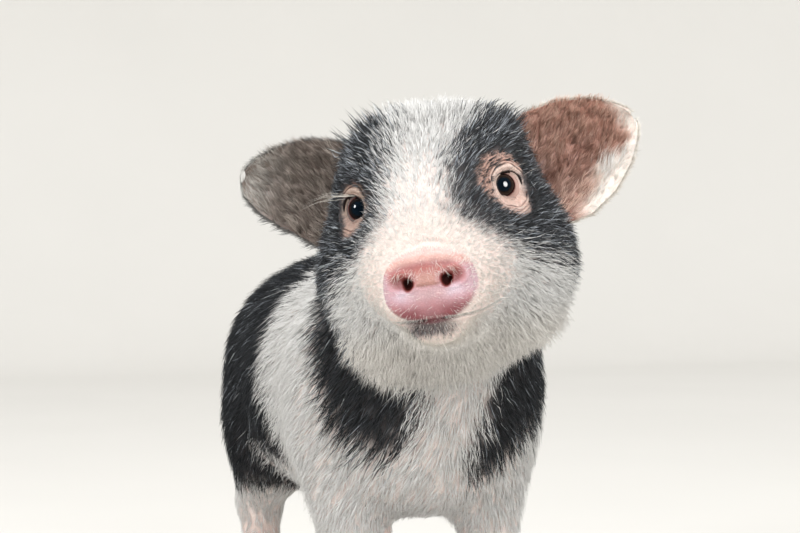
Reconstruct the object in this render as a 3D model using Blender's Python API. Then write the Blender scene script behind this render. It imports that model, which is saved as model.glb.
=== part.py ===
"""A miniature piglet of about three months, standing on four hooves, its head raised and a little turned.

Lengths in the tables are millimetres and MM turns them into metres. The piglet faces -Y, +Z is up and the
floor is z = 0. The flesh is one blended form, made from named masses and limbs, that thin cuts then part.
"""

import itertools
import math
import random

import bmesh
import bpy
import numpy as np
from mathutils import Matrix, Vector

MM = 0.001

# The head's own frame: x to the piglet's left, -y out of the snout, +z up, origin midway between the eyes.
HEAD_AT = Vector((-34, -203, 250)) * MM
HEAD_TURN = math.radians(-25)
HEAD_PITCH = math.radians(1)
HEAD_ROLL = math.radians(-8.3)

# How far the flattest of the coat stands over the skin.
COAT_CORE = 1.5 * MM
# Where the coat's core starts, and how far it takes to its full depth: behind the snout, over the feet.
SNOUT_FADE = (-66, 14)
FEET_FADE = (22, 20)
GAP = 0.3 * MM
SIDES = ((1, "left"), (-1, "right"))
VOXEL = 2.6 * MM
TAIL_VOXEL = 1.6 * MM
# The face is what lies in front of the first place and within the second of the head's own origin.
FACE_SPAN = (30, 95)
FACE_TRIANGLES = 1350
BODY_TRIANGLES = 1650
TAIL_TRIANGLES = 220

# Rounded masses: name, centre, radii, blend with what is already there. Those off the middle come in pairs.
TORSO_MASSES = (
    ("chest", (0, -58, 152), (55, 62, 60), 0),
    ("belly", (0, 22, 145), (66, 82, 63), 50),
    ("loin", (0, 30, 174), (44, 92, 40), 40),
    ("rump", (0, 94, 160), (52, 54, 55), 40),
    ("brisket", (0, -96, 138), (34, 34, 38), 30),
    ("shoulder", (32, -74, 146), (26, 36, 52), 22),
    ("ham", (29, 102, 136), (29, 44, 54), 26),
)
HEAD_MASSES = (
    ("cranium", (0, 26, 8), (46, 42, 34), 0),
    ("forehead", (0, 0, 2), (33, 35, 22), 14),
    ("brow", (27, 2, 12), (14, 14, 9), 9),
    ("cheek", (29, 14, -31), (27, 39, 32), 20),
    ("throat", (0, 26, -42), (38, 40, 29), 20),
    ("muzzle", (14, -32, -36), (17, 28, 16), 14),
)
LIP_MASSES = (("upper lip", (11, -54, -44), (11, 20, 8), 6),)
LID_BLEND = 4
EYE_HOLLOW = (19.5, 12.0, 7)

# Limbs: points from the root out, each with its radius, the stretch across x, and the blend.
SNOUT = (((0, 4, -12), 30), ((0, -34, -24.5), 22), ((0, -68, -36.5), 14.6))
SNOUT_STRETCH = 1.28
LOWER_JAW = (((0, 10, -46), 20), ((0, -34, -51), 13), ((0, -60, -53.5), 9.4))
JAW_STRETCH = 1.3
NECK = (((0, -84, 162), 52), ((-14, -158, 214), 43))
FRONT_LEG = (((38, -74, 126), 25), ((39, -84, 66), 13.4), ((38, -82, 32), 10.4), ((38, -90, 14), 11.2))
HIND_LEG = (((37, 86, 122), 29), ((38, 128, 68), 13.2), ((38, 122, 34), 10.4), ((38, 113, 14), 11.2))
TAIL = (
    ((0, 138, 192), 8.0),
    ((0, 156, 182), 6.4),
    ((2, 166, 164), 5.2),
    ((5, 168, 146), 4.2),
    ((8, 163, 130), 3.2),
    ((9, 156, 118), 2.2),
)
NECK_BLEND = 36
HEAD_BLEND = 26
LEG_BLEND = 14
LIMB_BLEND = 6
SNOUT_BLEND = 16
JAW_BLEND = 8

# The disc that ends the snout. Its loops: distance in front of its middle, and share of its full size.
DISC_CENTRE = (0, -76, -37.2)
DISC_RADII = (20.4, 15.6)
DISC_LOOPS = (
    (-8, 0.66),
    (-3.5, 0.86),
    (-0.5, 0.97),
    (2.2, 1.0),
    (4.2, 0.95),
    (5.0, 0.84),
    (4.7, 0.6),
    (4.5, 0.3),
)
# How square the disc's outline is, how much narrower it is on top, and how much its corners drop.
DISC_SQUARE = 2.35
DISC_NARROWS = 0.07
DISC_DROP = 0.9
DISC_SIDES = 28

# Eyes, lids, nostrils and mouth.
EYE_CENTRE = (31.0, -8.5, -0.5)
EYE_RADIUS = 8.6
EYE_GAZE = (0.6, -0.8, 0.06)
LID_THICKNESS = 2.0
LID_OPENING = ((3.4, 7.0, 5.0), (7.0, 8.6, 6.4), (15.0, 11.5, 9.0))
LID_TILT = math.radians(16)
# How much lower than an ellipse the opening is towards its corners.
LID_CORNERS = 0.3
NOSTRIL_AT = (9.6, 1.2)
NOSTRIL_RADII = (3.3, 2.8)
NOSTRIL_SPAN = (-10, 5)
NOSTRIL_INWARD = 2
MOUTH_PIVOT = (0, -30)
MOUTH_FRONT_HEIGHT = -51.5
MOUTH_RISE = 5.4
MOUTH_REACH = math.radians(98)
MOUTH_DEPTH = 3.2
MOUTH_GAP = 1.2
MOUTH_STEPS = 16
# The slot's cross-section: how far out of the skin it starts, and the gap's share at its bottom.
MOUTH_OUT = 4
MOUTH_BOTTOM = 0.3
# How fast the slot deepens from its ends, and its share of the depth at the very end.
MOUTH_DEEPENS = 6
MOUTH_END = 0.15

# Ears: half widths along the length, from the root to the tip.
EAR_ROOT = (36, 42, 0)
EAR_TIP = (95, 46, 26)
EAR_UP = (-0.41, 0, 0.91)
EAR_HALF_WIDTHS = (
    (0.0, 22),
    (0.15, 26.5),
    (0.35, 29),
    (0.6, 25.5),
    (0.8, 18.5),
    (0.92, 11.5),
    (0.98, 6.5),
    (1.0, 3.0),
)
# How deep the cup is at the root and the tip, its share above and below, and how far the ear bows back.
EAR_CUP = (15, 4)
EAR_CUP_SHARES = (1.15, 0.85)
EAR_BOW = 6
EAR_THICKNESS = 2.6

# Each foot ends in two claws under a slanting coronet, with two dew claws behind and above them.
CORONET_FRONT = (-11, 15.5)
CORONET_BACK = (11, 10.5)
CLAW_TOE = 20
CLAW_HEEL = 8
CLAW_WIDTH = 11.4
CLAW_CLEFT = 0.8
CLAW_STEPS = 10
CLAW_ROUND = 0.7
# A claw's outlines from the sole up: the height, and the shares of its toe, its heel and its width.
CLAW_RINGS = ((0, 1, 1, 1), (2.2, 1.0, 1.06, 1.03), (20, 0.44, 1.05, 0.93))
DEW_CLAW_RADIUS = 3.4
DEW_CLAW_TIP = 0.55
DEW_CLAW_LENGTH = 9
DEW_CLAW_LEAN = math.radians(140)
DEW_CLAW_AT = (6.0, 17, 27)

# The coat as flat tapered locks: their spacing, length, width, thickness and how far the tips stand off.
HEAD_LOCKS = (15.9, 23.5, 10.8, 1.9, 3.4)
NECK_LOCKS = (21, 34, 15.5, 2.3, 3.6)
TORSO_LOCKS = (28.6, 42, 19.5, 2.6, 3.8)
# On the crown, in the head's own frame, tips stand this much further off, fading in from there up and back.
CROWN_LIFT = 4.5
CROWN_FROM = (-8, 22)
CROWN_FADE = 14
LOCK_SINK = 2.6
LOCK_CURVE = 0.8
# Along a lock from its root at 0 to its tip at 1: its share of the width and of the thickness.
LOCK_STATIONS = ((0.0, 0.62, 1.0), (0.34, 1.0, 0.9), (0.7, 0.72, 0.6), (1.0, 0.0, 0.0))
LOCK_SHARES = (0.82, 1.15)
LOCK_SWAY = 0.3
LOCK_REACH = (-0.08, 0.88)
LOCK_SEED = 11
CLEAR_OF_EYE = 15.5
CLEAR_OF_EAR = 2
CLEAR_OF_TAIL = 11
# No lock grows where the skin looks down more than this, nor in front of this place on the snout.
BELLY_SLOPE = -0.75
SNOUT_BARE = -50
# Down the face locks shorten, from full size at the first place to this share at the snout.
FACE_FULL = -5
SNOUT_SHARE = 0.55
# The coat lies away from this point on the head. On the body it falls by the first slope, more at the side.
HEAD_LIE_FROM = (0, -96, -34)
BODY_FALL = (0.15, 0.75)
BODY_SIDE = 60

# Colour and roughness by the start of an object's name.
LOOKS = (
    ("head", ((0.66, 0.58, 0.53), 0.75)),
    ("neck", ((0.05, 0.047, 0.05), 0.7)),
    ("torso", ((0.6, 0.56, 0.51), 0.75)),
    ("tail", ((0.6, 0.5, 0.46), 0.75)),
    ("ear_left", ((0.5, 0.29, 0.24), 0.65)),
    ("ear_right", ((0.16, 0.12, 0.11), 0.65)),
    ("eye", ((0.02, 0.012, 0.01), 0.08)),
    ("leg", ((0.68, 0.6, 0.54), 0.75)),
    ("hoof", ((0.28, 0.22, 0.17), 0.5)),
    ("dewclaw", ((0.28, 0.22, 0.17), 0.5)),
)

# What parts each leg from the torso: the span of x and of y, and the block's top at its front and its back.
FRONT_BLOCK = ((14, 90), (-106, -52), (101, 91))
HIND_BLOCK = ((14, 90), (62, 190), (92, 130))
BLOCK_BOTTOM = -20

# What parts the head from the neck, in the head's own frame, and the neck from the torso: a point and a way.
HEAD_PLANE = ((0, 52, -20), (0, -0.93, 0.36))
NECK_PLANE = ((0, -98, 180), (0, -0.9, 0.43))


def head_matrix():
    """From the head's own frame to the model's."""
    turn = Matrix.Rotation(HEAD_TURN, 4, "Z") @ Matrix.Rotation(HEAD_PITCH, 4, "X")
    return Matrix.Translation(HEAD_AT) @ turn @ Matrix.Rotation(HEAD_ROLL, 4, "Y")


HEAD = head_matrix()


def head_plane():
    """A point and the slope of the cut between head and neck."""
    return HEAD @ (Vector(HEAD_PLANE[0]) * MM), HEAD.to_3x3() @ Vector(HEAD_PLANE[1]).normalized()


def neck_plane():
    return Vector(NECK_PLANE[0]) * MM, Vector(NECK_PLANE[1]).normalized()


def in_head(points):
    """Points of the model in the head's own frame."""
    back = np.array(HEAD.inverted())
    return points @ back[:3, :3].T + back[:3, 3]


def metres(numbers):
    return np.array(numbers, float) * MM


def smooth_union(a, b, blend):
    """The lower of two distances, rounded over where they are closer than blend."""
    if not blend:
        return np.minimum(a, b)
    share = np.clip(1 - np.abs(a - b) / blend, 0, 1)
    return np.minimum(a, b) - share * share * blend / 4


def ellipsoid_distance(points, centre, radii):
    q = points - centre
    near = np.linalg.norm(q / radii, axis=1)
    slope = np.maximum(np.linalg.norm(q / radii**2, axis=1), 1e-9)
    return near * (near - 1) / slope


def limb_distance(points, stations, stretch=1.0):
    """The distance to a chain of tapered rounded rods."""
    squash = np.array((1 / stretch, 1, 1))
    best = None
    for (start, r0), (end, r1) in zip(stations, stations[1:]):
        a, b = metres(start) * squash, metres(end) * squash
        along = b - a
        q = points * squash - a
        share = np.clip(q @ along / (along @ along), 0, 1)
        d = np.linalg.norm(q - share[:, None] * along, axis=1) - MM * (r0 + share * (r1 - r0))
        best = d if best is None else smooth_union(best, d, LIMB_BLEND * MM)
    return best


def pairs(points, distance, off_middle, blend):
    """A form and, where it stands off the middle, its mirror image."""
    d = distance(points)
    if not off_middle:
        return d
    return smooth_union(d, distance(points * np.array((-1, 1, 1))), blend)


def masses_distance(points, masses, d=1.0):
    for _, centre, radii, blend in masses:
        form = pairs(
            points, lambda p: ellipsoid_distance(p, metres(centre), metres(radii)), centre[0], blend * MM
        )
        d = smooth_union(d, form, blend * MM)
    return d


def lids_distance(points):
    centre = metres(EYE_CENTRE)
    radius = (EYE_RADIUS + LID_THICKNESS) * MM
    return pairs(points, lambda p: np.linalg.norm(p - centre, axis=1) - radius, True, 0)


def hollows_distance(points):
    """The shallow hollow that each eye lies in."""
    ahead, radius, _ = EYE_HOLLOW
    centre = (np.array(EYE_CENTRE) + ahead * np.array(EYE_GAZE)) * MM
    return pairs(points, lambda p: np.linalg.norm(p - centre, axis=1) - radius * MM, True, 0)


def head_distance(points):
    """The head's skin, in the head's own frame."""
    d = masses_distance(points, HEAD_MASSES)
    d = smooth_union(d, limb_distance(points, SNOUT, SNOUT_STRETCH), SNOUT_BLEND * MM)
    d = -smooth_union(-d, hollows_distance(points), EYE_HOLLOW[2] * MM)
    d = smooth_union(d, limb_distance(points, LOWER_JAW, JAW_STRETCH), JAW_BLEND * MM)
    d = masses_distance(points, LIP_MASSES, d)
    return smooth_union(d, lids_distance(points), LID_BLEND * MM)


def flesh_distance(points):
    """The skin of the whole animal without its ears and tail: below 0 inside."""
    body = masses_distance(points, TORSO_MASSES)
    body = smooth_union(body, limb_distance(points, NECK), NECK_BLEND * MM)
    for leg in (FRONT_LEG, HIND_LEG):
        limb = pairs(points, lambda p: limb_distance(p, leg), True, 0)
        body = smooth_union(body, limb, LEG_BLEND * MM)
    return smooth_union(body, head_distance(in_head(points)), HEAD_BLEND * MM)


def coat_depth(points):
    """How far the solid stands over the skin: nothing on the bare snout and the feet."""
    off_snout = np.clip((in_head(points)[:, 1] / MM - SNOUT_FADE[0]) / SNOUT_FADE[1], 0, 1)
    off_feet = np.clip((points[:, 2] / MM - FEET_FADE[0]) / FEET_FADE[1], 0, 1)
    return COAT_CORE * off_snout * off_feet


def face_out(bm):
    bm.normal_update()
    bmesh.ops.recalc_face_normals(bm, faces=bm.faces)


def new_object(name, mesh):
    obj = bpy.data.objects.new(name, mesh)
    bpy.context.scene.collection.objects.link(obj)
    return obj


def object_from(name, bm):
    mesh = bpy.data.meshes.new(name)
    bm.to_mesh(mesh)
    bm.free()
    return new_object(name, mesh)


def apply_modifiers(obj):
    graph = bpy.context.evaluated_depsgraph_get()
    mesh = bpy.data.meshes.new_from_object(obj.evaluated_get(graph))
    obj.modifiers.clear()
    obj.data = mesh
    return obj


def join_by_boolean(obj, others, operation, solver="EXACT"):
    """Cuts, keeps or joins obj by the others, which are then removed."""
    helpers = bpy.data.collections.new("helpers")
    for other in others:
        helpers.objects.link(other)
    modifier = obj.modifiers.new(operation.lower(), "BOOLEAN")
    modifier.operation = operation
    modifier.operand_type = "COLLECTION"
    modifier.collection = helpers
    modifier.solver = solver
    apply_modifiers(obj)
    for other in others:
        bpy.data.objects.remove(other)
    bpy.data.collections.remove(helpers)
    return obj


def copy_of(obj, name):
    other = obj.copy()
    other.data = obj.data.copy()
    other.name = name
    bpy.context.scene.collection.objects.link(other)
    return other


def grown(obj, by=GAP):
    """A copy whose faces stand out by that much."""
    other = copy_of(obj, obj.name + " grown")
    modifier = other.modifiers.new("grow", "DISPLACE")
    modifier.strength = by
    modifier.mid_level = 0
    return apply_modifiers(other)


def keep_largest(obj):
    """Leaves only the largest closed surface."""
    bm = bmesh.new()
    bm.from_mesh(obj.data)
    left = set(bm.verts)
    shells = []
    while left:
        shell = {left.pop()}
        edge_of = list(shell)
        while edge_of:
            found = {e.other_vert(v) for v in edge_of for e in v.link_edges} - shell
            shell |= found
            edge_of = list(found)
        left -= shell
        shells.append(shell)
    shells.sort(key=len)
    bmesh.ops.delete(bm, geom=[v for shell in shells[:-1] for v in shell], context="VERTS")
    bm.to_mesh(obj.data)
    bm.free()
    return obj


def point_on_form(points, distance):
    """Moves points onto the surface where distance is 0, along its slope."""
    step = 0.2 * MM
    for _ in range(5):
        d = distance(points)
        slope = np.stack([(distance(points + step * axis) - d) / step for axis in np.eye(3)], axis=1)
        length = np.maximum((slope**2).sum(axis=1), 0.2)
        points = points - (d / length)[:, None] * slope
    return points


def add_mass(bm, centre, radii, matrix=Matrix.Identity(4)):
    for side in (1, -1) if centre[0] else (1,):
        place = Matrix.Translation(Vector((side * centre[0], centre[1], centre[2])) * MM)
        size = Matrix.Diagonal((*metres(radii), 1))
        bmesh.ops.create_icosphere(bm, subdivisions=3, radius=1, matrix=matrix @ place @ size)


def add_limb(bm, stations, matrix=Matrix.Identity(4), stretch=1.0, both_sides=False):
    for side in (1, -1) if both_sides else (1,):
        for (start, r0), (end, r1) in zip(stations, stations[1:]):
            a = Vector((side * start[0], start[1], start[2])) * MM
            b = Vector((side * end[0], end[1], end[2])) * MM
            turn = (b - a).to_track_quat("Z", "Y").to_matrix().to_4x4()
            place = matrix @ Matrix.Translation((a + b) / 2) @ turn
            bmesh.ops.create_cone(
                bm,
                cap_ends=True,
                segments=20,
                radius1=r0 * MM,
                radius2=r1 * MM,
                depth=(b - a).length,
                matrix=place,
            )
            for point, radius in ((a, r0), (b, r1)):
                size = Matrix.Diagonal((radius * MM * stretch, radius * MM, radius * MM, 1))
                ball = matrix @ Matrix.Translation(point) @ size
                bmesh.ops.create_icosphere(bm, subdivisions=2, radius=1, matrix=ball)


def rough_flesh():
    """The masses and limbs, laid over one another."""
    bm = bmesh.new()
    for _, centre, radii, _ in TORSO_MASSES:
        add_mass(bm, centre, radii)
    for _, centre, radii, _ in HEAD_MASSES + LIP_MASSES:
        add_mass(bm, centre, radii, HEAD)
    add_mass(bm, EYE_CENTRE, (EYE_RADIUS,) * 3, HEAD)
    add_limb(bm, SNOUT, HEAD, SNOUT_STRETCH)
    add_limb(bm, LOWER_JAW, HEAD, JAW_STRETCH)
    add_limb(bm, NECK)
    add_limb(bm, FRONT_LEG, both_sides=True)
    add_limb(bm, HIND_LEG, both_sides=True)
    return object_from("flesh", bm)


def make_flesh():
    """The whole animal in one skin, thinned to few triangles, with more of them left on the head."""
    flesh = rough_flesh()
    remesh = flesh.modifiers.new("remesh", "REMESH")
    remesh.mode = "VOXEL"
    remesh.voxel_size = VOXEL
    apply_modifiers(flesh)
    points = np.array([v.co for v in flesh.data.vertices])
    points = point_on_form(points, lambda p: flesh_distance(p) - coat_depth(p))
    flesh.data.vertices.foreach_set("co", points.ravel())
    smooth = flesh.modifiers.new("smooth", "SMOOTH")
    smooth.factor = 0.5
    smooth.iterations = 2
    apply_modifiers(flesh)
    face = [v.index for v in flesh.data.vertices if on_face(v.co)]
    body = [v.index for v in flesh.data.vertices if not on_face(v.co)]
    triangles_each = 2 * len(flesh.data.polygons) / len(flesh.data.vertices)
    thin(flesh, body, len(face) * triangles_each + BODY_TRIANGLES)
    face = [v.index for v in flesh.data.vertices if on_face(v.co)]
    thin(flesh, face, FACE_TRIANGLES + BODY_TRIANGLES)
    return flesh


def on_face(point):
    own = HEAD.inverted() @ point
    return own.y < FACE_SPAN[0] * MM and own.length < FACE_SPAN[1] * MM


def thin(obj, vertices, triangles):
    """Leaves about so many triangles, taking the rest from where the given vertices are."""
    group = obj.vertex_groups.new(name="thin here")
    group.add(vertices, 1.0, "REPLACE")
    now = sum(len(p.vertices) - 2 for p in obj.data.polygons)
    modifier = obj.modifiers.new("thin", "DECIMATE")
    modifier.ratio = triangles / now
    modifier.vertex_group = group.name
    modifier.vertex_group_factor = 1.0
    apply_modifiers(obj)
    obj.vertex_groups.clear()
    return obj


def half_space(name, point, normal, size=0.5):
    """A big block whose one face lies on the plane through point, with the block on the normal's side."""
    bm = bmesh.new()
    bmesh.ops.create_cube(bm, size=size)
    turn = Vector(normal).to_track_quat("Z", "Y").to_matrix().to_4x4()
    reach = Matrix.Translation(Vector(point) + Vector(normal).normalized() * size / 2)
    bmesh.ops.transform(bm, matrix=reach @ turn, verts=bm.verts)
    return object_from(name, bm)


def part_by_plane(whole, name, point, normal):
    """Cuts away what is on the normal's side of a plane as a new object, with a thin gap."""
    side = Vector(normal).normalized() * GAP / 2
    piece = copy_of(whole, name)
    join_by_boolean(piece, [half_space("keep", point + side, normal)], "INTERSECT")
    join_by_boolean(whole, [half_space("cut", point - side, normal)], "DIFFERENCE")
    return keep_largest(piece)


def leg_block(name, block, side, grow=0.0):
    """The space that one leg is parted by: a block with a sloping top."""
    (x0, x1), (y0, y1), (top0, top1) = block
    bm = bmesh.new()
    bmesh.ops.create_cube(bm, size=1)
    for v in bm.verts:
        back = v.co.y > 0
        x = x1 + grow if v.co.x > 0 else x0 - grow
        y = y1 + grow if back else y0 - grow
        z = (top1 if back else top0) + grow if v.co.z > 0 else BLOCK_BOTTOM
        v.co = Vector((x * side, y, z)) * MM
    face_out(bm)
    return object_from(name, bm)


def part_leg(torso, name, block, side):
    leg = copy_of(torso, name)
    join_by_boolean(leg, [leg_block("keep", block, side)], "INTERSECT", "MANIFOLD")
    join_by_boolean(torso, [leg_block("cut", block, side, GAP / MM)], "DIFFERENCE", "MANIFOLD")
    return keep_largest(leg)


def ball(name, centre, radius, matrix=Matrix.Identity(4), segments=16):
    bm = bmesh.new()
    place = matrix @ Matrix.Translation(Vector(centre) * MM) @ Matrix.Scale(radius * MM, 4)
    bmesh.ops.create_uvsphere(bm, u_segments=segments, v_segments=segments // 2, radius=1, matrix=place)
    return object_from(name, bm)


def gaze_matrix(side):
    """From a frame at the eye's middle, with z out along the gaze and y up, to the head's own frame."""
    out = Vector((EYE_GAZE[0] * side, EYE_GAZE[1], EYE_GAZE[2])).normalized()
    across = Vector((0, 0, 1)).cross(out).normalized()
    up = out.cross(across)
    turn = Matrix((across, up, out)).transposed().to_4x4()
    return Matrix.Translation(Vector((EYE_CENTRE[0] * side, *EYE_CENTRE[1:])) * MM) @ turn


def skin_between(bm, loops):
    """Joins loops of equal length into one closed tube with flat ends."""
    for one, other in zip(loops, loops[1:]):
        for k in range(len(one)):
            j = (k + 1) % len(one)
            bm.faces.new((one[k], one[j], other[j], other[k]))
    bm.faces.new(loops[0])
    bm.faces.new(loops[-1])
    face_out(bm)


def lid_opening(side):
    """An almond-shaped funnel along the gaze, which opens the lids."""
    bm = bmesh.new()
    loops = []
    for ahead, wide, high in LID_OPENING:
        loop = []
        for k in range(16):
            turn = 2 * math.pi * k / 16
            x, y = math.cos(turn), math.sin(turn) * (1 - LID_CORNERS * math.cos(turn) ** 2)
            loop.append(bm.verts.new(Vector((x * wide, y * high, ahead)) * MM))
        loops.append(loop)
    skin_between(bm, loops)
    tilt = Matrix.Rotation(LID_TILT * side, 4, "Z")
    bmesh.ops.transform(bm, matrix=HEAD @ gaze_matrix(side) @ tilt, verts=bm.verts)
    return object_from("lid opening", bm)


def make_eye(head, side, name):
    """The ball of an eye, and in the head its lids and its socket."""
    at = (EYE_CENTRE[0] * side, *EYE_CENTRE[1:])
    join_by_boolean(head, [ball("lids", at, EYE_RADIUS + LID_THICKNESS, HEAD)], "UNION")
    socket = ball("socket", at, EYE_RADIUS + GAP / MM, HEAD)
    join_by_boolean(head, [socket, lid_opening(side)], "DIFFERENCE")
    keep_largest(head)
    return ball(name, at, EYE_RADIUS, HEAD, segments=16)


def outline(angle):
    """The disc's outline: broad and full below, flatter across the top."""
    rx, rz = DISC_RADII
    c, k = math.cos(angle), math.sin(angle)
    power = 2 / DISC_SQUARE
    x = rx * math.copysign(abs(c) ** power, c) * (1 - DISC_NARROWS * k)
    z = rz * math.copysign(abs(k) ** power, k) + DISC_DROP * math.cos(2 * angle)
    return x, z


def snout_disc():
    bm = bmesh.new()
    loops = []
    for ahead, share in DISC_LOOPS:
        loop = []
        for k in range(DISC_SIDES):
            x, z = outline(2 * math.pi * k / DISC_SIDES)
            at = Vector((x * share, -ahead, z * share)) + Vector(DISC_CENTRE)
            loop.append(bm.verts.new(at * MM))
        loops.append(loop)
    skin_between(bm, loops)
    bmesh.ops.transform(bm, matrix=HEAD, verts=bm.verts)
    return object_from("disc", bm)


def cut_nostrils(head):
    """Two oval holes that run in and towards each other."""
    rods = []
    for side in (1, -1):
        bm = bmesh.new()
        bmesh.ops.create_cone(bm, cap_ends=True, segments=14, radius1=1, radius2=1, depth=1)
        for v in bm.verts:
            inner = v.co.z < 0
            x = v.co.x * NOSTRIL_RADII[0] + side * (NOSTRIL_AT[0] - (NOSTRIL_INWARD if inner else 0))
            z = v.co.y * NOSTRIL_RADII[1] + NOSTRIL_AT[1]
            y = NOSTRIL_SPAN[1 if inner else 0]
            v.co = (Vector((x, y, z)) + Vector(DISC_CENTRE)) * MM
        face_out(bm)
        bmesh.ops.transform(bm, matrix=HEAD, verts=bm.verts)
        rods.append(object_from("nostril", bm))
    join_by_boolean(head, rods, "DIFFERENCE")


def skin_along(start, out):
    """The point of the head's skin straight out from a point inside, in the head's own frame."""
    reach = np.linspace(0, 90 * MM, 361)
    points = np.array(start) + reach[:, None] * np.array(out)
    return Vector(points[int(np.argmax(head_distance(points) > 0))])


def cut_mouth(head):
    """The line of the mouth: a thin slot in the skin, from corner to corner, round under the disc."""
    bm = bmesh.new()
    loops = []
    for k in range(MOUTH_STEPS + 1):
        share = 2 * k / MOUTH_STEPS - 1
        turn = MOUTH_REACH * share
        height = MOUTH_FRONT_HEIGHT + MOUTH_RISE * (1 - math.cos(turn))
        out = Vector((math.sin(turn), -math.cos(turn), 0))
        skin = skin_along(Vector((*MOUTH_PIVOT, height)) * MM, out)
        deep = -MOUTH_DEPTH * min(1, MOUTH_DEEPENS * (1 - abs(share)) + MOUTH_END)
        section = ((deep, MOUTH_BOTTOM), (MOUTH_OUT, 1), (MOUTH_OUT, -1), (deep, -MOUTH_BOTTOM))
        loop = []
        for reach, lift in section:
            loop.append(bm.verts.new(skin + (out * reach + Vector((0, 0, lift * MOUTH_GAP / 2))) * MM))
        loops.append(loop)
    skin_between(bm, loops)
    bmesh.ops.transform(bm, matrix=HEAD, verts=bm.verts)
    join_by_boolean(head, [object_from("mouth", bm)], "DIFFERENCE")


def between(table, t):
    places, values = zip(*table)
    return float(np.interp(t, places, values))


def ear_point(along, across, side):
    """A point of the middle of the ear's wall: along from 0 at the root to 1, across from -1 to 1."""
    root, tip, up = Vector(EAR_ROOT), Vector(EAR_TIP), Vector(EAR_UP)
    half_width = between(EAR_HALF_WIDTHS, along)
    cup = EAR_CUP[0] + (EAR_CUP[1] - EAR_CUP[0]) * along
    p = root.lerp(tip, along) + up * half_width * across
    p.y -= cup * across**2 * EAR_CUP_SHARES[0 if across > 0 else 1]
    p.y += EAR_BOW * math.sin(math.pi * along)
    return Vector((p.x * side, p.y, p.z)) * MM


def make_ear(head_grown, side, name):
    bm = bmesh.new()
    bmesh.ops.create_grid(bm, x_segments=9, y_segments=6, size=1)
    for v in bm.verts:
        along = math.sin((v.co.x + 1) / 4 * math.pi)
        v.co = ear_point(along, v.co.y, side)
    bmesh.ops.transform(bm, matrix=HEAD, verts=bm.verts)
    ear = object_from(name, bm)
    wall = ear.modifiers.new("wall", "SOLIDIFY")
    wall.thickness = EAR_THICKNESS * MM
    wall.offset = 0
    apply_modifiers(ear)
    join_by_boolean(ear, [copy_of(head_grown, "head cutter")], "DIFFERENCE")
    return keep_largest(ear)


def tail_object(name):
    bm = bmesh.new()
    add_limb(bm, TAIL)
    tail = object_from(name, bm)
    remesh = tail.modifiers.new("remesh", "REMESH")
    remesh.mode = "VOXEL"
    remesh.voxel_size = TAIL_VOXEL
    smooth = tail.modifiers.new("smooth", "SMOOTH")
    smooth.iterations = 6
    apply_modifiers(tail)
    return thin(tail, [v.index for v in tail.data.vertices], TAIL_TRIANGLES)


def spread_over(obj, spacing, draw):
    """Points spread at random over a mesh, none nearer to another than the spacing."""
    mesh = obj.data
    mesh.calc_loop_triangles()
    corners = np.array([v.co for v in mesh.vertices])
    triangles = np.array([t.vertices for t in mesh.loop_triangles])
    areas = np.array([t.area for t in mesh.loop_triangles])
    chosen = []
    wanted = int(areas.sum() / spacing**2 * 30)
    picks = draw.choices(range(len(triangles)), weights=areas, k=wanted)
    for pick in picks:
        u, v = draw.random(), draw.random()
        if u + v > 1:
            u, v = 1 - u, 1 - v
        a, b, c = corners[triangles[pick]]
        point = a + u * (b - a) + v * (c - a)
        if all(np.linalg.norm(point - other) > spacing for other in chosen):
            chosen.append(point)
    return np.array(chosen)


def slope_of(distance, points):
    """The way out of the form, of length 1, at each point."""
    steps = 0.5 * MM * np.eye(3)
    slope = np.stack([distance(points + step) - distance(points - step) for step in steps], axis=1)
    return slope / np.linalg.norm(slope, axis=1)[:, None]


def core_distance(points):
    return flesh_distance(points) - coat_depth(points)


def head_lie(points):
    """The lie of the coat on the head: back from the snout, on all sides."""
    return points - np.array(HEAD @ (Vector(HEAD_LIE_FROM) * MM))


def body_lie(points):
    """The lie of the coat on the neck and the body: back, and down the sides."""
    side = np.clip(np.abs(points[:, 0]) / (BODY_SIDE * MM), 0, 1)
    fall = BODY_FALL[0] + BODY_FALL[1] * side
    return np.stack([0 * side, 1 + 0 * side, -fall], axis=1)


def ear_points():
    """Points all over the middle of both ears' walls."""
    alongs, acrosses = np.linspace(0, 1, 21), np.linspace(-1, 1, 17)
    places = itertools.product(alongs, acrosses, (1, -1))
    return np.array([HEAD @ ear_point(*place) for place in places])


def clear_of_face(points, sizes=HEAD_LOCKS):
    """True where a lock of those sizes is clear of the eyes, the ears and the bare snout."""
    ears = ear_points()
    off_wall = (CLEAR_OF_EAR + sizes[2] / 2) * MM
    own = in_head(points)
    eyes = [metres(EYE_CENTRE) * (side, 1, 1) for side, _ in SIDES]
    clear = own[:, 1] > SNOUT_BARE * MM
    for eye in eyes:
        clear &= np.linalg.norm(own - eye, axis=1) > CLEAR_OF_EYE * MM
    off_ear = [np.linalg.norm(ears - point, axis=1).min() > off_wall for point in points]
    return clear & np.array(off_ear)


def clear_of_tail(points):
    return limb_distance(points, TAIL) > CLEAR_OF_TAIL * MM


def on_coat(points):
    """True where locks grow on the neck and the body: not on the legs or under the belly."""
    off_belly = slope_of(core_distance, points)[:, 2] > BELLY_SLOPE
    _, (front, back), (low, high) = HIND_BLOCK
    y = points[:, 1] / MM
    lowest = np.where(y > front, low + (y - front) / (back - front) * (high - low), FRONT_BLOCK[2][0])
    return off_belly & (points[:, 2] / MM > lowest)


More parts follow.
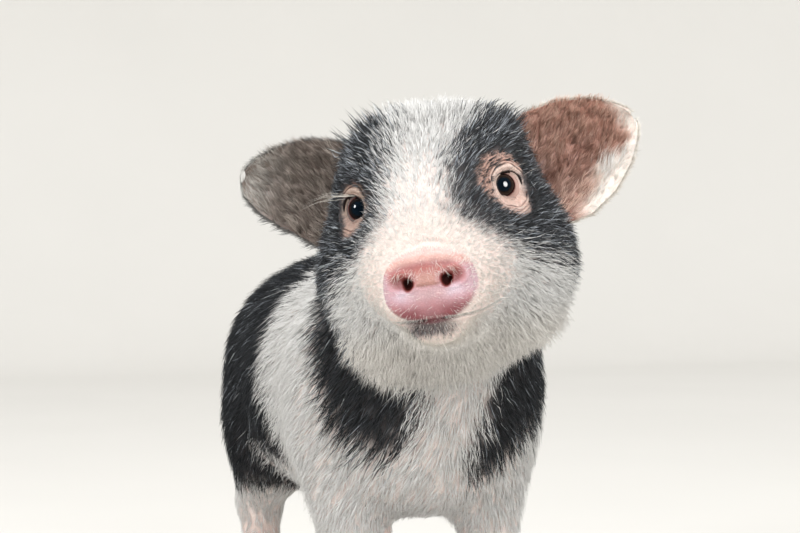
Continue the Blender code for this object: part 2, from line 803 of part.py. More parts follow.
def lock(centres, outs, acrosses, width, thickness):
    """One flat lock through the given places: four-sided, widest near its root and drawn to a point."""
    bm = bmesh.new()
    rings = []
    for centre, out, across, (_, wide, thick) in zip(centres, outs, acrosses, LOCK_STATIONS):
        if not wide:
            break
        half, rise = across * width / 2 * wide, out * thickness / 2 * thick
        rings.append([bm.verts.new(centre + way) for way in (half, rise, -half, -rise)])
    tip = bm.verts.new(centres[-1])
    for one, other in zip(rings, rings[1:]):
        for k in range(4):
            j = (k + 1) % 4
            bm.faces.new((one[k], one[j], other[j], other[k]))
    for k in range(4):
        bm.faces.new((rings[-1][k], rings[-1][(k + 1) % 4], tip))
    bm.faces.new(rings[0])
    face_out(bm)
    bmesh.ops.triangulate(bm, faces=bm.faces)
    return object_from("lock", bm)


def crown_share(points):
    """1 on the crown of the head, where the bristles stand, falling to 0 round it."""
    own = in_head(points) / MM
    up = np.clip((own[:, 2] - CROWN_FROM[1]) / CROWN_FADE, 0, 1)
    return up * np.clip((own[:, 1] - CROWN_FROM[0]) / CROWN_FADE, 0, 1)


def size_share(points):
    """Locks are full-sized but for those down the face, which shorten towards the snout."""
    ahead = np.clip((in_head(points)[:, 1] / MM - FACE_FULL) / (SNOUT_BARE - FACE_FULL), 0, 1)
    return 1 + (SNOUT_SHARE - 1) * ahead


def grow_locks(obj, sizes, lie, grows, clear, seed):
    """Sets locks over a node, laid along the coat's lie, and fuses them with it."""
    spacing, length, width, thickness, lift = (size * MM for size in sizes)
    draw = random.Random(seed)
    roots = point_on_form(spread_over(obj, spacing, draw), core_distance)
    roots = roots[grows(roots)]
    share = size_share(roots) * [draw.uniform(*LOCK_SHARES) for _ in roots]
    sway = np.array([draw.uniform(-LOCK_SWAY, LOCK_SWAY) for _ in roots])
    lengths = length * share
    out = slope_of(core_distance, roots)
    along = lie(roots)
    along -= (along * out).sum(axis=1)[:, None] * out
    along /= np.linalg.norm(along, axis=1)[:, None]
    across = np.cross(along, out)
    along = along + sway[:, None] * across
    along /= np.linalg.norm(along, axis=1)[:, None]
    rise = lift + CROWN_LIFT * MM * crown_share(roots)
    paths = []
    for t, _, _ in LOCK_STATIONS:
        reach = LOCK_REACH[0] + (LOCK_REACH[1] - LOCK_REACH[0]) * t
        flat = point_on_form(roots + along * lengths[:, None] * reach, core_distance)
        normal = slope_of(core_distance, flat)
        height = -LOCK_SINK * MM + (rise + LOCK_SINK * MM) * t**LOCK_CURVE
        paths.append((flat + normal * height[:, None], normal))
    good = np.all([clear(place) for place, _ in paths], axis=0)
    locks = []
    for k in np.flatnonzero(good):
        centres = [Vector(place[k]) for place, _ in paths]
        outs = [Vector(normal[k]) for _, normal in paths]
        ways = [b - a for a, b in zip(centres, centres[1:])]
        acrosses = [way.cross(out).normalized() for way, out in zip(ways + ways[-1:], outs)]
        locks.append(lock(centres, outs, acrosses, width * share[k], thickness * share[k]))
    join_by_boolean(obj, locks, "UNION", "MANIFOLD")
    return keep_largest(obj)


def trim(obj, point, slope):
    """Cuts away what reaches past a plane on the slope's side, half the gap short of it."""
    block = half_space("trim", point - slope * GAP / 2, slope)
    join_by_boolean(obj, [block], "DIFFERENCE", "MANIFOLD")
    return keep_largest(obj)


def grow_coat(head, neck, torso):
    """The locks of each node, trimmed where the node ends."""
    head_end, towards_snout = head_plane()
    neck_end, towards_head = neck_plane()
    grow_locks(head, HEAD_LOCKS, head_lie, clear_of_face, clear_of_face, LOCK_SEED)
    trim(head, head_end, -towards_snout)
    grow_locks(neck, NECK_LOCKS, body_lie, on_coat, lambda p: clear_of_face(p, NECK_LOCKS), LOCK_SEED + 1)
    trim(neck, head_end, towards_snout)
    trim(neck, neck_end, -towards_head)
    grow_locks(torso, TORSO_LOCKS, body_lie, on_coat, clear_of_tail, LOCK_SEED + 2)
    trim(torso, neck_end, towards_head)


def coronet(foot, up=0.0):
    """A point and the slope of the slanting plane where a leg ends and its claws begin."""
    _, y, _ = foot[-1][0]
    front = Vector((0, y + CORONET_FRONT[0], CORONET_FRONT[1] + up))
    back = Vector((0, y + CORONET_BACK[0], CORONET_BACK[1] + up))
    slope = (back - front).cross(Vector((-1, 0, 0))).normalized()
    return (front + back) / 2 * MM, slope


def claw(foot, side, inner, name):
    """One claw: flat below, a flat side along the cleft, round outside, and drawn to a toe in front."""
    x_middle, y_end, _ = foot[-1][0]
    outward = -side if inner else side
    bm = bmesh.new()
    rings = []
    for height, toe, heel, wide in CLAW_RINGS:
        ring = []
        for k in range(CLAW_STEPS + 1):
            turn = math.pi * k / CLAW_STEPS
            y = -math.cos(turn)
            y = y * CLAW_TOE * toe if y < 0 else y * CLAW_HEEL * heel
            x = CLAW_CLEFT + CLAW_WIDTH * wide * math.sin(turn) ** CLAW_ROUND
            ring.append(bm.verts.new(Vector((side * x_middle + outward * x, y_end + y, height)) * MM))
        rings.append(ring)
    skin_between(bm, rings)
    point, slope = coronet(foot, -GAP / MM)
    obj = object_from(name, bm)
    return join_by_boolean(obj, [half_space("above", point, slope)], "DIFFERENCE")


def dew_claw(foot, side, inner, name):
    """A small blunt cone behind the foot."""
    x_middle, y_end, _ = foot[-1][0]
    apart, behind, height = DEW_CLAW_AT
    x = side * x_middle + (-side if inner else side) * apart
    bm = bmesh.new()
    bmesh.ops.create_cone(
        bm,
        cap_ends=True,
        segments=10,
        radius1=DEW_CLAW_RADIUS * MM,
        radius2=DEW_CLAW_RADIUS * DEW_CLAW_TIP * MM,
        depth=DEW_CLAW_LENGTH * MM,
    )
    lean = Matrix.Rotation(DEW_CLAW_LEAN, 4, "X")
    place = Matrix.Translation(Vector((x, y_end + behind, height)) * MM)
    bmesh.ops.transform(bm, matrix=place @ lean, verts=bm.verts)
    return object_from(name, bm)


def make_feet():
    for legs, foot in (("front", FRONT_LEG), ("hind", HIND_LEG)):
        for side, word in SIDES:
            leg = bpy.data.objects[f"leg_{legs}_{word}"]
            point, slope = coronet(foot)
            join_by_boolean(leg, [half_space("below", point, -slope)], "DIFFERENCE")
            keep_largest(leg)
            grown_leg = grown(leg)
            for inner, place in ((True, "inner"), (False, "outer")):
                claw(foot, side, inner, f"hoof_{legs}_{word}_{place}")
                small = dew_claw(foot, side, inner, f"dewclaw_{legs}_{word}_{place}")
                join_by_boolean(small, [copy_of(grown_leg, "leg cutter")], "DIFFERENCE")
                keep_largest(small)
            bpy.data.objects.remove(grown_leg)


def give_materials():
    """Each object's own material, by the first words of its name that the list holds."""
    for obj in bpy.data.objects:
        colour, roughness = next(look for start, look in LOOKS if obj.name.startswith(start))
        material = bpy.data.materials.new(obj.name)
        material.use_nodes = True
        shader = material.node_tree.nodes["Principled BSDF"]
        shader.inputs["Base Color"].default_value = (*colour, 1)
        shader.inputs["Roughness"].default_value = roughness
        shader.inputs["Metallic"].default_value = 0
        obj.data.materials.clear()
        obj.data.materials.append(material)
        obj.data.polygons.foreach_set("material_index", [0] * len(obj.data.polygons))


def stand_over_origin():
    """Moves every mesh so that the middle of the whole box's floor is the origin."""
    objects = list(bpy.data.objects)
    points = np.array([v.co for obj in objects for v in obj.data.vertices])
    low, high = points.min(axis=0), points.max(axis=0)
    shift = Matrix.Translation((-(low[0] + high[0]) / 2, -(low[1] + high[1]) / 2, -low[2]))
    for obj in objects:
        obj.data.transform(shift)


def make_face(head):
    """The ears and the eyes, and the openings of the head."""
    head_grown = grown(head)
    for side, word in SIDES:
        make_ear(head_grown, side, "ear_" + word)
    bpy.data.objects.remove(head_grown)
    for side, word in SIDES:
        make_eye(head, side, "eye_" + word)
    cut_nostrils(head)
    cut_mouth(head)
    keep_largest(head)


def main():
    for obj in list(bpy.data.objects):
        bpy.data.objects.remove(obj)
    torso = make_flesh()
    head = part_by_plane(torso, "head", *head_plane())
    neck = part_by_plane(torso, "neck", *neck_plane())
    torso.name = "torso"
    join_by_boolean(head, [snout_disc()], "UNION")
    make_face(head)
    tail = tail_object("tail")
    join_by_boolean(tail, [grown(torso)], "DIFFERENCE")
    keep_largest(tail)
    grow_coat(head, neck, torso)
    for side, word in SIDES:
        part_leg(torso, "leg_front_" + word, FRONT_BLOCK, side)
        part_leg(torso, "leg_hind_" + word, HIND_BLOCK, side)
    keep_largest(torso)
    make_feet()
    stand_over_origin()
    give_materials()


main()
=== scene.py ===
"""The looks of a still, life-size miniature piglet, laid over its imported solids: skin, coat, eyes and claws.

Lengths in the tables are millimetres and MM turns them into metres. The piglet faces -Y, and HEAD turns
the head's own frame (x to its left, -y out of the snout, z up, origin between the eyes) into the model's.
Shapes are made where the solids' own source makes them, and SHIFT then stands them over the origin as the
solids stand.
"""

import math

import bmesh
import bpy
import numpy as np
from mathutils import Matrix, Vector
from mathutils.kdtree import KDTree


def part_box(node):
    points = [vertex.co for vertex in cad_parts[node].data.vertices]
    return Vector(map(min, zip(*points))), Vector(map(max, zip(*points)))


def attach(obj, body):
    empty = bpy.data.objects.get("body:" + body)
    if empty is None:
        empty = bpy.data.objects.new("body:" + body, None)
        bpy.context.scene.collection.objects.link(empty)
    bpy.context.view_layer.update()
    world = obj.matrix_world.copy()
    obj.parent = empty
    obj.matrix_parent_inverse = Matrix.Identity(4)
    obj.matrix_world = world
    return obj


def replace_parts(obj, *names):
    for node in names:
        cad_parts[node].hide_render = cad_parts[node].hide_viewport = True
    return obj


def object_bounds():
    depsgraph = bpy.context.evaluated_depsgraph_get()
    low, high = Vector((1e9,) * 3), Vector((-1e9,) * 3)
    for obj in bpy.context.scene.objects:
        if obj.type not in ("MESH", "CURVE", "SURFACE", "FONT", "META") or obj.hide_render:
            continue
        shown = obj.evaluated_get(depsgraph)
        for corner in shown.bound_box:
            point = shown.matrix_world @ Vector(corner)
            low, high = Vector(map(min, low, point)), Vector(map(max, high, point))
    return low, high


MM = 0.001
SIDES = ((1, "left"), (-1, "right"))
CORNERS = ("inner", "outer")

# ---- the form, from the same values as the solids ----
HEAD_AT = Vector((-34, -203, 250)) * MM
HEAD_TURN = math.radians(-25)
HEAD_PITCH = math.radians(1)
HEAD_ROLL = math.radians(-8.3)

TORSO_MASSES = (
    ("chest", (0, -58, 152), (55, 62, 60), 0),
    ("belly", (0, 22, 145), (66, 82, 63), 50),
    ("loin", (0, 30, 174), (44, 92, 40), 40),
    ("rump", (0, 94, 160), (52, 54, 55), 40),
    ("brisket", (0, -96, 138), (34, 34, 38), 30),
    ("shoulder", (32, -74, 146), (26, 36, 52), 22),
    ("ham", (29, 102, 136), (29, 44, 54), 26),
)
HEAD_MASSES = (
    ("cranium", (0, 26, 8), (46, 42, 34), 0),
    ("forehead", (0, 0, 2), (33, 35, 22), 14),
    ("brow", (27, 2, 12), (14, 14, 9), 9),
    ("cheek", (29, 14, -31), (27, 39, 32), 20),
    ("throat", (0, 26, -42), (38, 40, 29), 20),
    ("muzzle", (14, -32, -36), (17, 28, 16), 14),
)
LIP_MASSES = (("upper lip", (11, -54, -44), (11, 20, 8), 6),)
SNOUT = (((0, 4, -12), 30), ((0, -34, -24.5), 22), ((0, -68, -36.5), 14.6))
SNOUT_STRETCH = 1.28
LOWER_JAW = (((0, 10, -46), 20), ((0, -34, -51), 13), ((0, -60, -53.5), 9.4))
JAW_STRETCH = 1.3
NECK = (((0, -84, 162), 52), ((-14, -158, 214), 43))
FRONT_LEG = (((38, -74, 126), 25), ((39, -84, 66), 13.4), ((38, -82, 32), 10.4), ((38, -90, 14), 11.2))
HIND_LEG = (((37, 86, 122), 29), ((38, 128, 68), 13.2), ((38, 122, 34), 10.4), ((38, 113, 14), 11.2))
TAIL = (
    ((0, 138, 192), 7.0),
    ((0, 156, 182), 5.2),
    ((2, 166, 164), 3.9),
    ((5, 167, 146), 3.0),
    ((8, 163, 130), 2.2),
    ((9, 156, 118), 1.5),
)
NECK_BLEND = 36
HEAD_BLEND = 26
LEG_BLEND = 14
LIMB_BLEND = 6
SNOUT_BLEND = 16
JAW_BLEND = 8
LID_BLEND = 4
TAIL_BLEND = 5
DISC_BLEND = 2.5

DISC_CENTRE = (0, -76, -36.4)
DISC_RADII = (18.6, 14.2)
DISC_LOOPS = ((-8, 0.66), (-3.5, 0.86), (-0.5, 0.97), (2.2, 1.0), (4.2, 0.95), (5.0, 0.84))
DISC_FRONT = 4.8
DISC_SQUARE = 2.35
DISC_NARROWS = 0.07
DISC_DROP = 0.9

EYE_CENTRE = (31.0, -8.5, -0.5)
EYE_RADIUS = 8.6
EYE_GAZE = (0.6, -0.8, 0.06)
EYE_HOLLOW = (19.5, 12.0, 7)
LID_THICKNESS = 2.0
NOSTRIL_AT = (7.9, 0.1)
NOSTRIL_RADII = (2.2, 2.6)
NOSTRIL_HOLLOW = (2.4, 0.8, 5.4, 3.4)
MOUTH_PIVOT = (0, -30)
MOUTH_FRONT_HEIGHT = -52.0
MOUTH_RISE = 5.4
MOUTH_REACH = math.radians(98)

EAR_ROOT = np.array((36, 42, 0))
EAR_TIP = np.array((95, 46, 26))
EAR_UP = np.array((-0.41, 0, 0.91))
EAR_HALF_WIDTHS = (
    (0.0, 22), (0.15, 26.5), (0.35, 29), (0.6, 25.5), (0.8, 18.5), (0.92, 11.5), (0.98, 6.5),
    (1.0, 3.0),
)
EAR_CUP = (15, 4)
EAR_CUP_SHARES = (1.15, 0.85)
EAR_BOW = 6
EAR_THICKNESS = 2.6

CORONET_FRONT = (-11, 15.5)
CORONET_BACK = (11, 10.5)
CLAW_TOE = 20
CLAW_HEEL = 8
CLAW_WIDTH = 11.4
CLAW_CLEFT = 0.8
CLAW_ROUND = 0.7
DEW_CLAW_RADIUS = 3.4
DEW_CLAW_TIP = 0.55
DEW_CLAW_LENGTH = 9
DEW_CLAW_LEAN = math.radians(140)
DEW_CLAW_AT = (6.0, 17, 27)

HEAD_PLANE = ((0, 52, -20), (0, -0.93, 0.36))

# ---- the skin's own detail ----
VOXEL = 2.7
FACE_SPAN = (30, 95)
# The edges of the left and right lids round the gaze: outwards and up from the eye's middle.
LID_EDGES = {
    1: (
        (-8.0, -0.3), (-7.5, 1.8), (-6.3, 3.9), (-4.0, 5.7), (-0.2, 6.4), (3.4, 6.3), (5.8, 4.8),
        (7.0, 1.4), (7.1, -1.8), (6.3, -4.6), (4.2, -5.3), (0.7, -4.9), (-3.7, -4.0), (-6.6, -3.2),
        (-8.0, -2.6),
    ),
    -1: (
        (-6.9, -0.3), (-6.2, 1.9), (-4.4, 4.4), (-1.7, 5.8), (1.8, 6.2), (4.6, 5.5), (6.5, 3.3),
        (7.1, 0.6), (6.9, -2.4), (5.6, -5.0), (3.6, -5.5), (-0.5, -4.9), (-3.4, -4.3), (-5.5, -3.5),
        (-7.1, -2.4),
    ),
}
# How far the bare skin round an eye reaches: degrees round from outwards, through up, and millimetres.
BARE_BY_EYE = {
    1: (
        (-180, 19.0), (-167, 16.5), (-146, 14.3), (-129, 13.7), (-98, 14.5), (-81, 14.0),
        (-62, 13.0), (-50, 11.2), (-35, 9.4), (0, 8.5), (27, 9.2), (39, 10.9), (52, 12.6),
        (67, 14.2), (81, 15.4), (100, 16.0), (119, 17.0), (146, 18.4), (168, 19.1), (180, 19.0),
    ),
    -1: (
        (-180, 13.8), (-167, 14.0), (-150, 12.6), (-135, 12.4), (-117, 12.9), (-102, 13.8),
        (-73, 13.0), (-60, 10.6), (-39, 8.9), (0, 8.4), (34, 9.0), (45, 11.2), (74, 11.6),
        (104, 11.4), (129, 12.0), (148, 12.4), (170, 13.6), (180, 13.8),
    ),
}
POCKET_RADIUS = 6.3
NOSTRIL_DEPTH = 3.4
MOUTH_DEPTH = 2.4
MOUTH_WIDTH = 0.75

# The blaze: the height on the forehead, going on over the crown, and its two edges across the head.
BLAZE = (
    (-90, -52, 64), (-60, -50, 62), (-40, -50, 56), (-30, -44, 46), (-20, -32, 27), (-10, -22, 12),
    (5, -18.5, 9), (18, -16, 9.5), (30, -15, 21), (45, -16, 27), (70, -8, 16), (95, 2, 4),
)

# Colours as the light is, not as a screen shows them.
WHITE_HAIR = (0.95, 0.945, 0.93)
CREAM_HAIR = (0.93, 0.87, 0.79)
BLACK_HAIR = (0.066, 0.072, 0.080)
PINK_SKIN = (0.78, 0.70, 0.66)
DARK_SKIN = (0.055, 0.052, 0.054)
DISC_PINK = (0.44, 0.215, 0.235)
DISC_PALE = (0.56, 0.46, 0.53)
DISC_MIDDLE = (0.52, 0.36, 0.38)
DISC_BAND = (0.36, 0.115, 0.100)
DISC_TOP = (0.58, 0.35, 0.31)
DISC_RIM = (0.66, 0.47, 0.44)
DISC_PLATE = (0.43, 0.225, 0.185)
DISC_LOW = (0.22, 0.060, 0.070)
# Painted shade in the crease above the disc.
DISC_CREASE_PAINTED_SHADE = (0.50, 0.30, 0.26)
NOSTRIL_RED = (0.20, 0.040, 0.034)
# Painted shade deep inside the nostrils.
NOSTRIL_PAINTED_SHADE = (0.035, 0.009, 0.008)
MUZZLE_SKIN = (0.73, 0.62, 0.57)
LEG_SKIN = (0.62, 0.45, 0.39)
LIP_DARK = (0.10, 0.080, 0.082)
# The lips' red edge, deepened with painted shade in the mouth's groove.
MOUTH_RED_PAINTED_SHADE = (0.06, 0.02, 0.02)
# Left eye first, then the right; the right eye's are darker copies: painted shade on the side of the face
# turned from the light.
LID_SKINS_LIT_AND_SHADED = ((0.62, 0.475, 0.41), (0.36, 0.27, 0.22))
BROW_SKINS_LIT_AND_SHADED = ((0.47, 0.295, 0.235), (0.11, 0.075, 0.060))
LID_PINKS_LIT_AND_SHADED = ((0.56, 0.39, 0.33), (0.36, 0.25, 0.21))
# Painted shade in the folds round the eyes.
LID_CREASE_PAINTED_SHADE = (0.085, 0.042, 0.033)
# The right eye's (-1) iris and white are darker copies: painted shade.
IRIS_BROWNS_LIT_AND_SHADED = {1: (0.030, 0.019, 0.015), -1: (0.012, 0.009, 0.009)}
EYE_WHITES_LIT_AND_SHADED = {1: (0.50, 0.335, 0.29), -1: (0.13, 0.10, 0.095)}
EAR_ROOT_SKIN = (0.16, 0.075, 0.058)
EAR_MID_SKIN = (0.42, 0.21, 0.155)
EAR_PALE_SKIN = (0.93, 0.85, 0.78)
EAR_GREY_SKIN = (0.13, 0.10, 0.085)
EAR_GREY_TIP_SKIN = (0.30, 0.26, 0.23)
LASH_LINE = (0.02, 0.014, 0.013)
# Painted shade in the inner corners of the eyes.
EYE_CORNER_PAINTED_SHADE = (0.045, 0.022, 0.016)
TAN_HAIR = (0.60, 0.36, 0.275)
TAN_DARK_HAIR = (0.20, 0.10, 0.07)
TAN_PALE_HAIR = (0.66, 0.47, 0.38)
TAN_ROW_HAIR = (0.26, 0.11, 0.075)
TAN_LOW_HAIR = (0.82, 0.60, 0.50)
EAR_CREAM_HAIR = (0.97, 0.90, 0.84)
GREY_HAIR = (0.26, 0.215, 0.185)
GREY_PALE_HAIR = (0.46, 0.40, 0.35)
GREY_TIP_HAIR = (0.62, 0.60, 0.56)
RIM_HAIR = (0.90, 0.85, 0.78)
FRINGE_CREAM = (0.88, 0.82, 0.74)
FRINGE_BLACK = (0.12, 0.11, 0.11)
FRINGE_GREY = (0.10, 0.092, 0.088)
FRINGE_TIP = (0.85, 0.84, 0.80)
DOWN_HAIR = (0.93, 0.89, 0.84)


def head_matrix():
    """Turns the head's own frame into the model's."""
    turn = Matrix.Rotation(HEAD_TURN, 4, "Z") @ Matrix.Rotation(HEAD_PITCH, 4, "X")
    return Matrix.Translation(HEAD_AT) @ turn @ Matrix.Rotation(HEAD_ROLL, 4, "Y")


HEAD = head_matrix()


# ---- arithmetic on many points at once ----
def turned(points, matrix):
    """Rows of points, moved by a matrix."""
    rows = np.array(matrix)
    return points @ rows[:3, :3].T + rows[:3, 3]


def in_head(points):
    """Points of the model, in the head's own frame."""
    return turned(points, HEAD.inverted())


def out_of_head(ways):
    """Directions of the head's own frame, in the model's."""
    return ways @ np.array(HEAD.to_3x3()).T


def metres(numbers):
    """Millimetres as an array of metres."""
    return np.array(numbers, float) * MM


def unit(ways):
    """Rows of directions, each of length 1."""
    return ways / np.maximum(np.linalg.norm(ways, axis=1), 1e-12)[:, None]


def laid_flat(ways, normals):
    """Directions turned to lie flat against the skin."""
    return unit(ways - (ways * normals).sum(axis=1)[:, None] * normals)


def fade(values, start, end):
    """0 up to start and 1 from end on, smooth between them; start may be the larger."""
    share = np.clip((values - start) / (end - start), 0, 1)
    return share * share * (3 - 2 * share)


def bump(values, middle, width):
    """1 at the middle, falling off to either side over about the width."""
    return np.exp(-(((values - middle) / width) ** 2))


def blend(first, second, share):
    """From one colour, or row of colours, to another by each point's share."""
    share = np.asarray(share)[:, None]
    return np.asarray(first) * (1 - share) + np.asarray(second) * share


def read_off(table, values):
    """A table of places and sizes, read between its rows."""
    places, sizes = zip(*table)
    return np.interp(values, places, sizes)


def all_over(colour, count):
    """So many rows of one colour."""
    return np.tile(np.array(colour), (count, 1))


def swells(points, size, seed):
    """A smooth uneven pattern between about -1 and 1, whose swells are about size millimetres apart."""
    draw = np.random.default_rng(seed)
    total = np.zeros(len(points))
    for octave in (1, 2.1):
        for way in unit(draw.normal(size=(5, 3))):
            start = draw.uniform(0, 6.28)
            total += np.sin(points @ way / (size * MM) * 2 * math.pi * octave + start) / octave
    return total / 4


def smooth_union(a, b, width):
    """The nearer of two distances, with the crease between their forms filled over a width."""
    if not width:
        return np.minimum(a, b)
    share = np.clip(1 - np.abs(a - b) / width, 0, 1)
    return np.minimum(a, b) - share * share * width / 4


# ---- the form: how far points lie off the skin ----
def ellipsoid_distance(points, centre, radii):
    """About how far points lie outside an ellipsoid."""
    q = points - centre
    near = np.linalg.norm(q / radii, axis=1)
    slope = np.maximum(np.linalg.norm(q / radii**2, axis=1), 1e-9)
    return near * (near - 1) / slope


def limb_distance(points, stations, stretch=1.0):
    """How far points lie outside a limb: balls at its stations, tapering from one to the next."""
    squash = np.array((1 / stretch, 1, 1))
    best = None
    for (start, r0), (end, r1) in zip(stations, stations[1:]):
        a, b = metres(start) * squash, metres(end) * squash
        along = b - a
        q = points * squash - a
        share = np.clip(q @ along / (along @ along), 0, 1)
        d = np.linalg.norm(q - share[:, None] * along, axis=1) - MM * (r0 + share * (r1 - r0))
        best = d if best is None else smooth_union(best, d, LIMB_BLEND * MM)
    return best


def pairs(points, distance, off_middle, width):
    """A form's distance, and its mirror's as well where it lies off the middle."""
    d = distance(points)
    if not off_middle:
        return d
    return smooth_union(d, distance(points * np.array((-1, 1, 1))), width)


def masses_distance(points, masses, d=1.0):
    """How far points lie outside a table's masses, each blended into those before it."""
    for _, centre, radii, width in masses:
        form = pairs(
            points, lambda p: ellipsoid_distance(p, metres(centre), metres(radii)), centre[0], width * MM
        )
        d = smooth_union(d, form, width * MM)
    return d


def balls_distance(points, centre, radius):
    """Two balls, one to each side of the head."""
    return pairs(points, lambda p: np.linalg.norm(p - centre, axis=1) - radius, True, 0)


def disc_place(own):
    """Where points lie on the snout's disc: across and up in its own even outline, and how far in front."""
    q = own / MM - np.array(DISC_CENTRE)
    rx, rz = DISC_RADII
    x = q[:, 0] / (1 - DISC_NARROWS * np.clip(q[:, 2] / rz, -1, 1))
    across, up = np.minimum(np.abs(x / rx), 1.2), np.minimum(np.abs(q[:, 2] / rz), 1.2)
    return x, q[:, 2] - DISC_DROP * (across**2 - up**2), -q[:, 1]


def disc_distance(own):
    """The disc that ends the snout: a rounded plate with a full, nearly square outline."""
    x, z, ahead = disc_place(own)
    rx, rz = DISC_RADII
    square = DISC_SQUARE + 0.6 * fade(z, 0, -8)
    low = rz * (1 - 0.09 * np.exp(-((x / 5.5) ** 2)) * fade(z, 0, -6))
    out = (np.abs(x / rx) ** square + np.abs(z / low) ** square) ** (1 / square)
    share = read_off(DISC_LOOPS, ahead)
    sideways = np.hypot(x, z) * (1 - share / np.maximum(out, 1e-6))
    forwards = np.abs(ahead + 1.6) - (DISC_FRONT + 1.6)
    soft = 2.2
    a, b = sideways + soft, forwards + soft
    return MM * (np.minimum(np.maximum(a, b), 0) + np.hypot(np.maximum(a, 0), np.maximum(b, 0)) - soft)


def jaws_distance(own):
    """The head's skin without the snout's disc, in the head's own frame."""
    gaze = np.array(EYE_GAZE)
    ahead, radius, width = EYE_HOLLOW
    d = masses_distance(own, HEAD_MASSES)
    d = smooth_union(d, limb_distance(own, SNOUT, SNOUT_STRETCH), SNOUT_BLEND * MM)
    hollow = balls_distance(own, metres(EYE_CENTRE) + ahead * gaze * MM, radius * MM)
    d = -smooth_union(-d, hollow, width * MM)
    d = smooth_union(d, limb_distance(own, LOWER_JAW, JAW_STRETCH), JAW_BLEND * MM)
    d = masses_distance(own, LIP_MASSES, d)
    lids = balls_distance(own, metres(EYE_CENTRE), (EYE_RADIUS + LID_THICKNESS) * MM)
    return smooth_union(d, lids, LID_BLEND * MM)


def head_distance(own):
    """How far points of the head's own frame lie outside the head with its disc."""
    return smooth_union(jaws_distance(own), disc_distance(own), DISC_BLEND * MM)


def skin_distance(points):
    """The skin of the whole animal without its ears: below 0 inside."""
    body = masses_distance(points, TORSO_MASSES)
    body = smooth_union(body, limb_distance(points, NECK), NECK_BLEND * MM)
    for leg in (FRONT_LEG, HIND_LEG):
        body = smooth_union(body, pairs(points, lambda p: limb_distance(p, leg), True, 0), LEG_BLEND * MM)
    body = smooth_union(body, limb_distance(points, TAIL), TAIL_BLEND * MM)
    return smooth_union(body, head_distance(in_head(points)), HEAD_BLEND * MM)


def slope_at(points, step=0.3 * MM):
    """The way out of the skin at each point, of about length 1 on it."""
    steps = step * np.eye(3)
    rises = [skin_distance(points + s) - skin_distance(points - s) for s in steps]
    return np.stack(rises, axis=1) / (2 * step)


def on_skin(points, rounds=5):
    """Moves points along the form's slope until they lie on the skin."""
    for _ in range(rounds):
        slope = slope_at(points)
        length = np.maximum((slope**2).sum(axis=1), 0.2)
        points = points - (skin_distance(points) / length)[:, None] * slope
    return points


# ---- markings, the same for skin and coat ----
def past_head_plane(points):
    """Millimetres in front of where the head meets the neck."""
    point = HEAD @ (Vector(HEAD_PLANE[0]) * MM)
    way = HEAD.to_3x3() @ Vector(HEAD_PLANE[1]).normalized()
    return (points - np.array(point)) @ np.array(way) / MM


def white_on_head(own):
    """Millimetres inside the white of the head, below 0 on the black."""
    s, y, h = (own / MM).T
    climb = np.where((y > 24) & (h > 5), 45 + (y - 24), h)
    heights, lefts, rights = np.array(BLAZE).T
    inside = np.minimum(s - np.interp(climb, heights, lefts), np.interp(climb, heights, rights) - s)
    back = np.interp(h, (-80, -60, -30, 0, 5, 6), (80, 46, 34, 30, 40, 400))
    inside = np.minimum(inside, back - y)
    inside -= 9 * bump(s, 37, 6) * bump(h, -32, 6)
    return inside


def white_on_body(points):
    """Millimetres inside the body's white: a belt over the shoulders, the belly, the throat and the feet."""
    x, y, z = (points / MM).T
    uneven = swells(points, 46, 5)
    belt = np.minimum(y - (-98 + 0.478 * (z - 180)), -14 + 0.22 * (z - 150) - y) + 9 * uneven
    low = 108 + 16 * uneven + 10 * fade(y, 40, -20) - z
    hind = np.where((y > 62) & (np.abs(x) > 22), 84 - z, low)
    throat = 17 - np.abs(x + 6) - 0.5 * np.clip(z - 185, 0, None)
    throat = np.where(y < -96, throat + 4 * uneven, -50)
    tail = np.where(y > 150, 136 - z, -50)
    return np.maximum.reduce([belt, np.where(y < 134, hind, -50), throat, tail])


def whiteness(points, softness=1.0):
    """1 on the white coat and 0 on the black, fading over a few millimetres at the edges."""
    own = in_head(points)
    on_head = fade(past_head_plane(points), -14, -2)
    head = (white_on_head(own) + 3.0 * swells(points, 9, 3)) / (3.2 * softness)
    body = (white_on_body(points) + 3.0 * swells(points, 12, 4)) / (5.0 * softness)
    return np.clip(0.5 + 0.5 * (on_head * head + (1 - on_head) * body), 0, 1)


# ---- meshes ----
def object_from(name, bm):
    """An object in the scene with the mesh of a bmesh, which it frees."""
    mesh = bpy.data.meshes.new(name)
    bm.to_mesh(mesh)
    bm.free()
    obj = bpy.data.objects.new(name, mesh)
    bpy.context.scene.collection.objects.link(obj)
    return obj


def apply_modifiers(obj):
    """Gives an object the mesh that its modifiers make."""
    graph = bpy.context.evaluated_depsgraph_get()
    mesh = bpy.data.meshes.new_from_object(obj.evaluated_get(graph))
    obj.modifiers.clear()
    obj.data = mesh
    return obj


def places_of(mesh):
    """Where a mesh's vertices are, as rows."""
    places = np.empty(len(mesh.vertices) * 3, np.float32)
    mesh.vertices.foreach_get("co", places)
    return places.reshape(-1, 3).astype(float)


def normals_of(mesh):
    """The normals at a mesh's vertices, as rows."""
    normals = np.empty(len(mesh.vertices) * 3, np.float32)
    mesh.vertices.foreach_get("normal", normals)
    return normals.reshape(-1, 3).astype(float)


def put_places(mesh, places):
    """Moves a mesh's vertices."""
    mesh.vertices.foreach_set("co", places.astype(np.float32).ravel())
    mesh.update()


def smooth_shading(mesh):
    """Shades all of a mesh's faces smooth."""
    mesh.polygons.foreach_set("use_smooth", np.ones(len(mesh.polygons), bool))
    mesh.update()


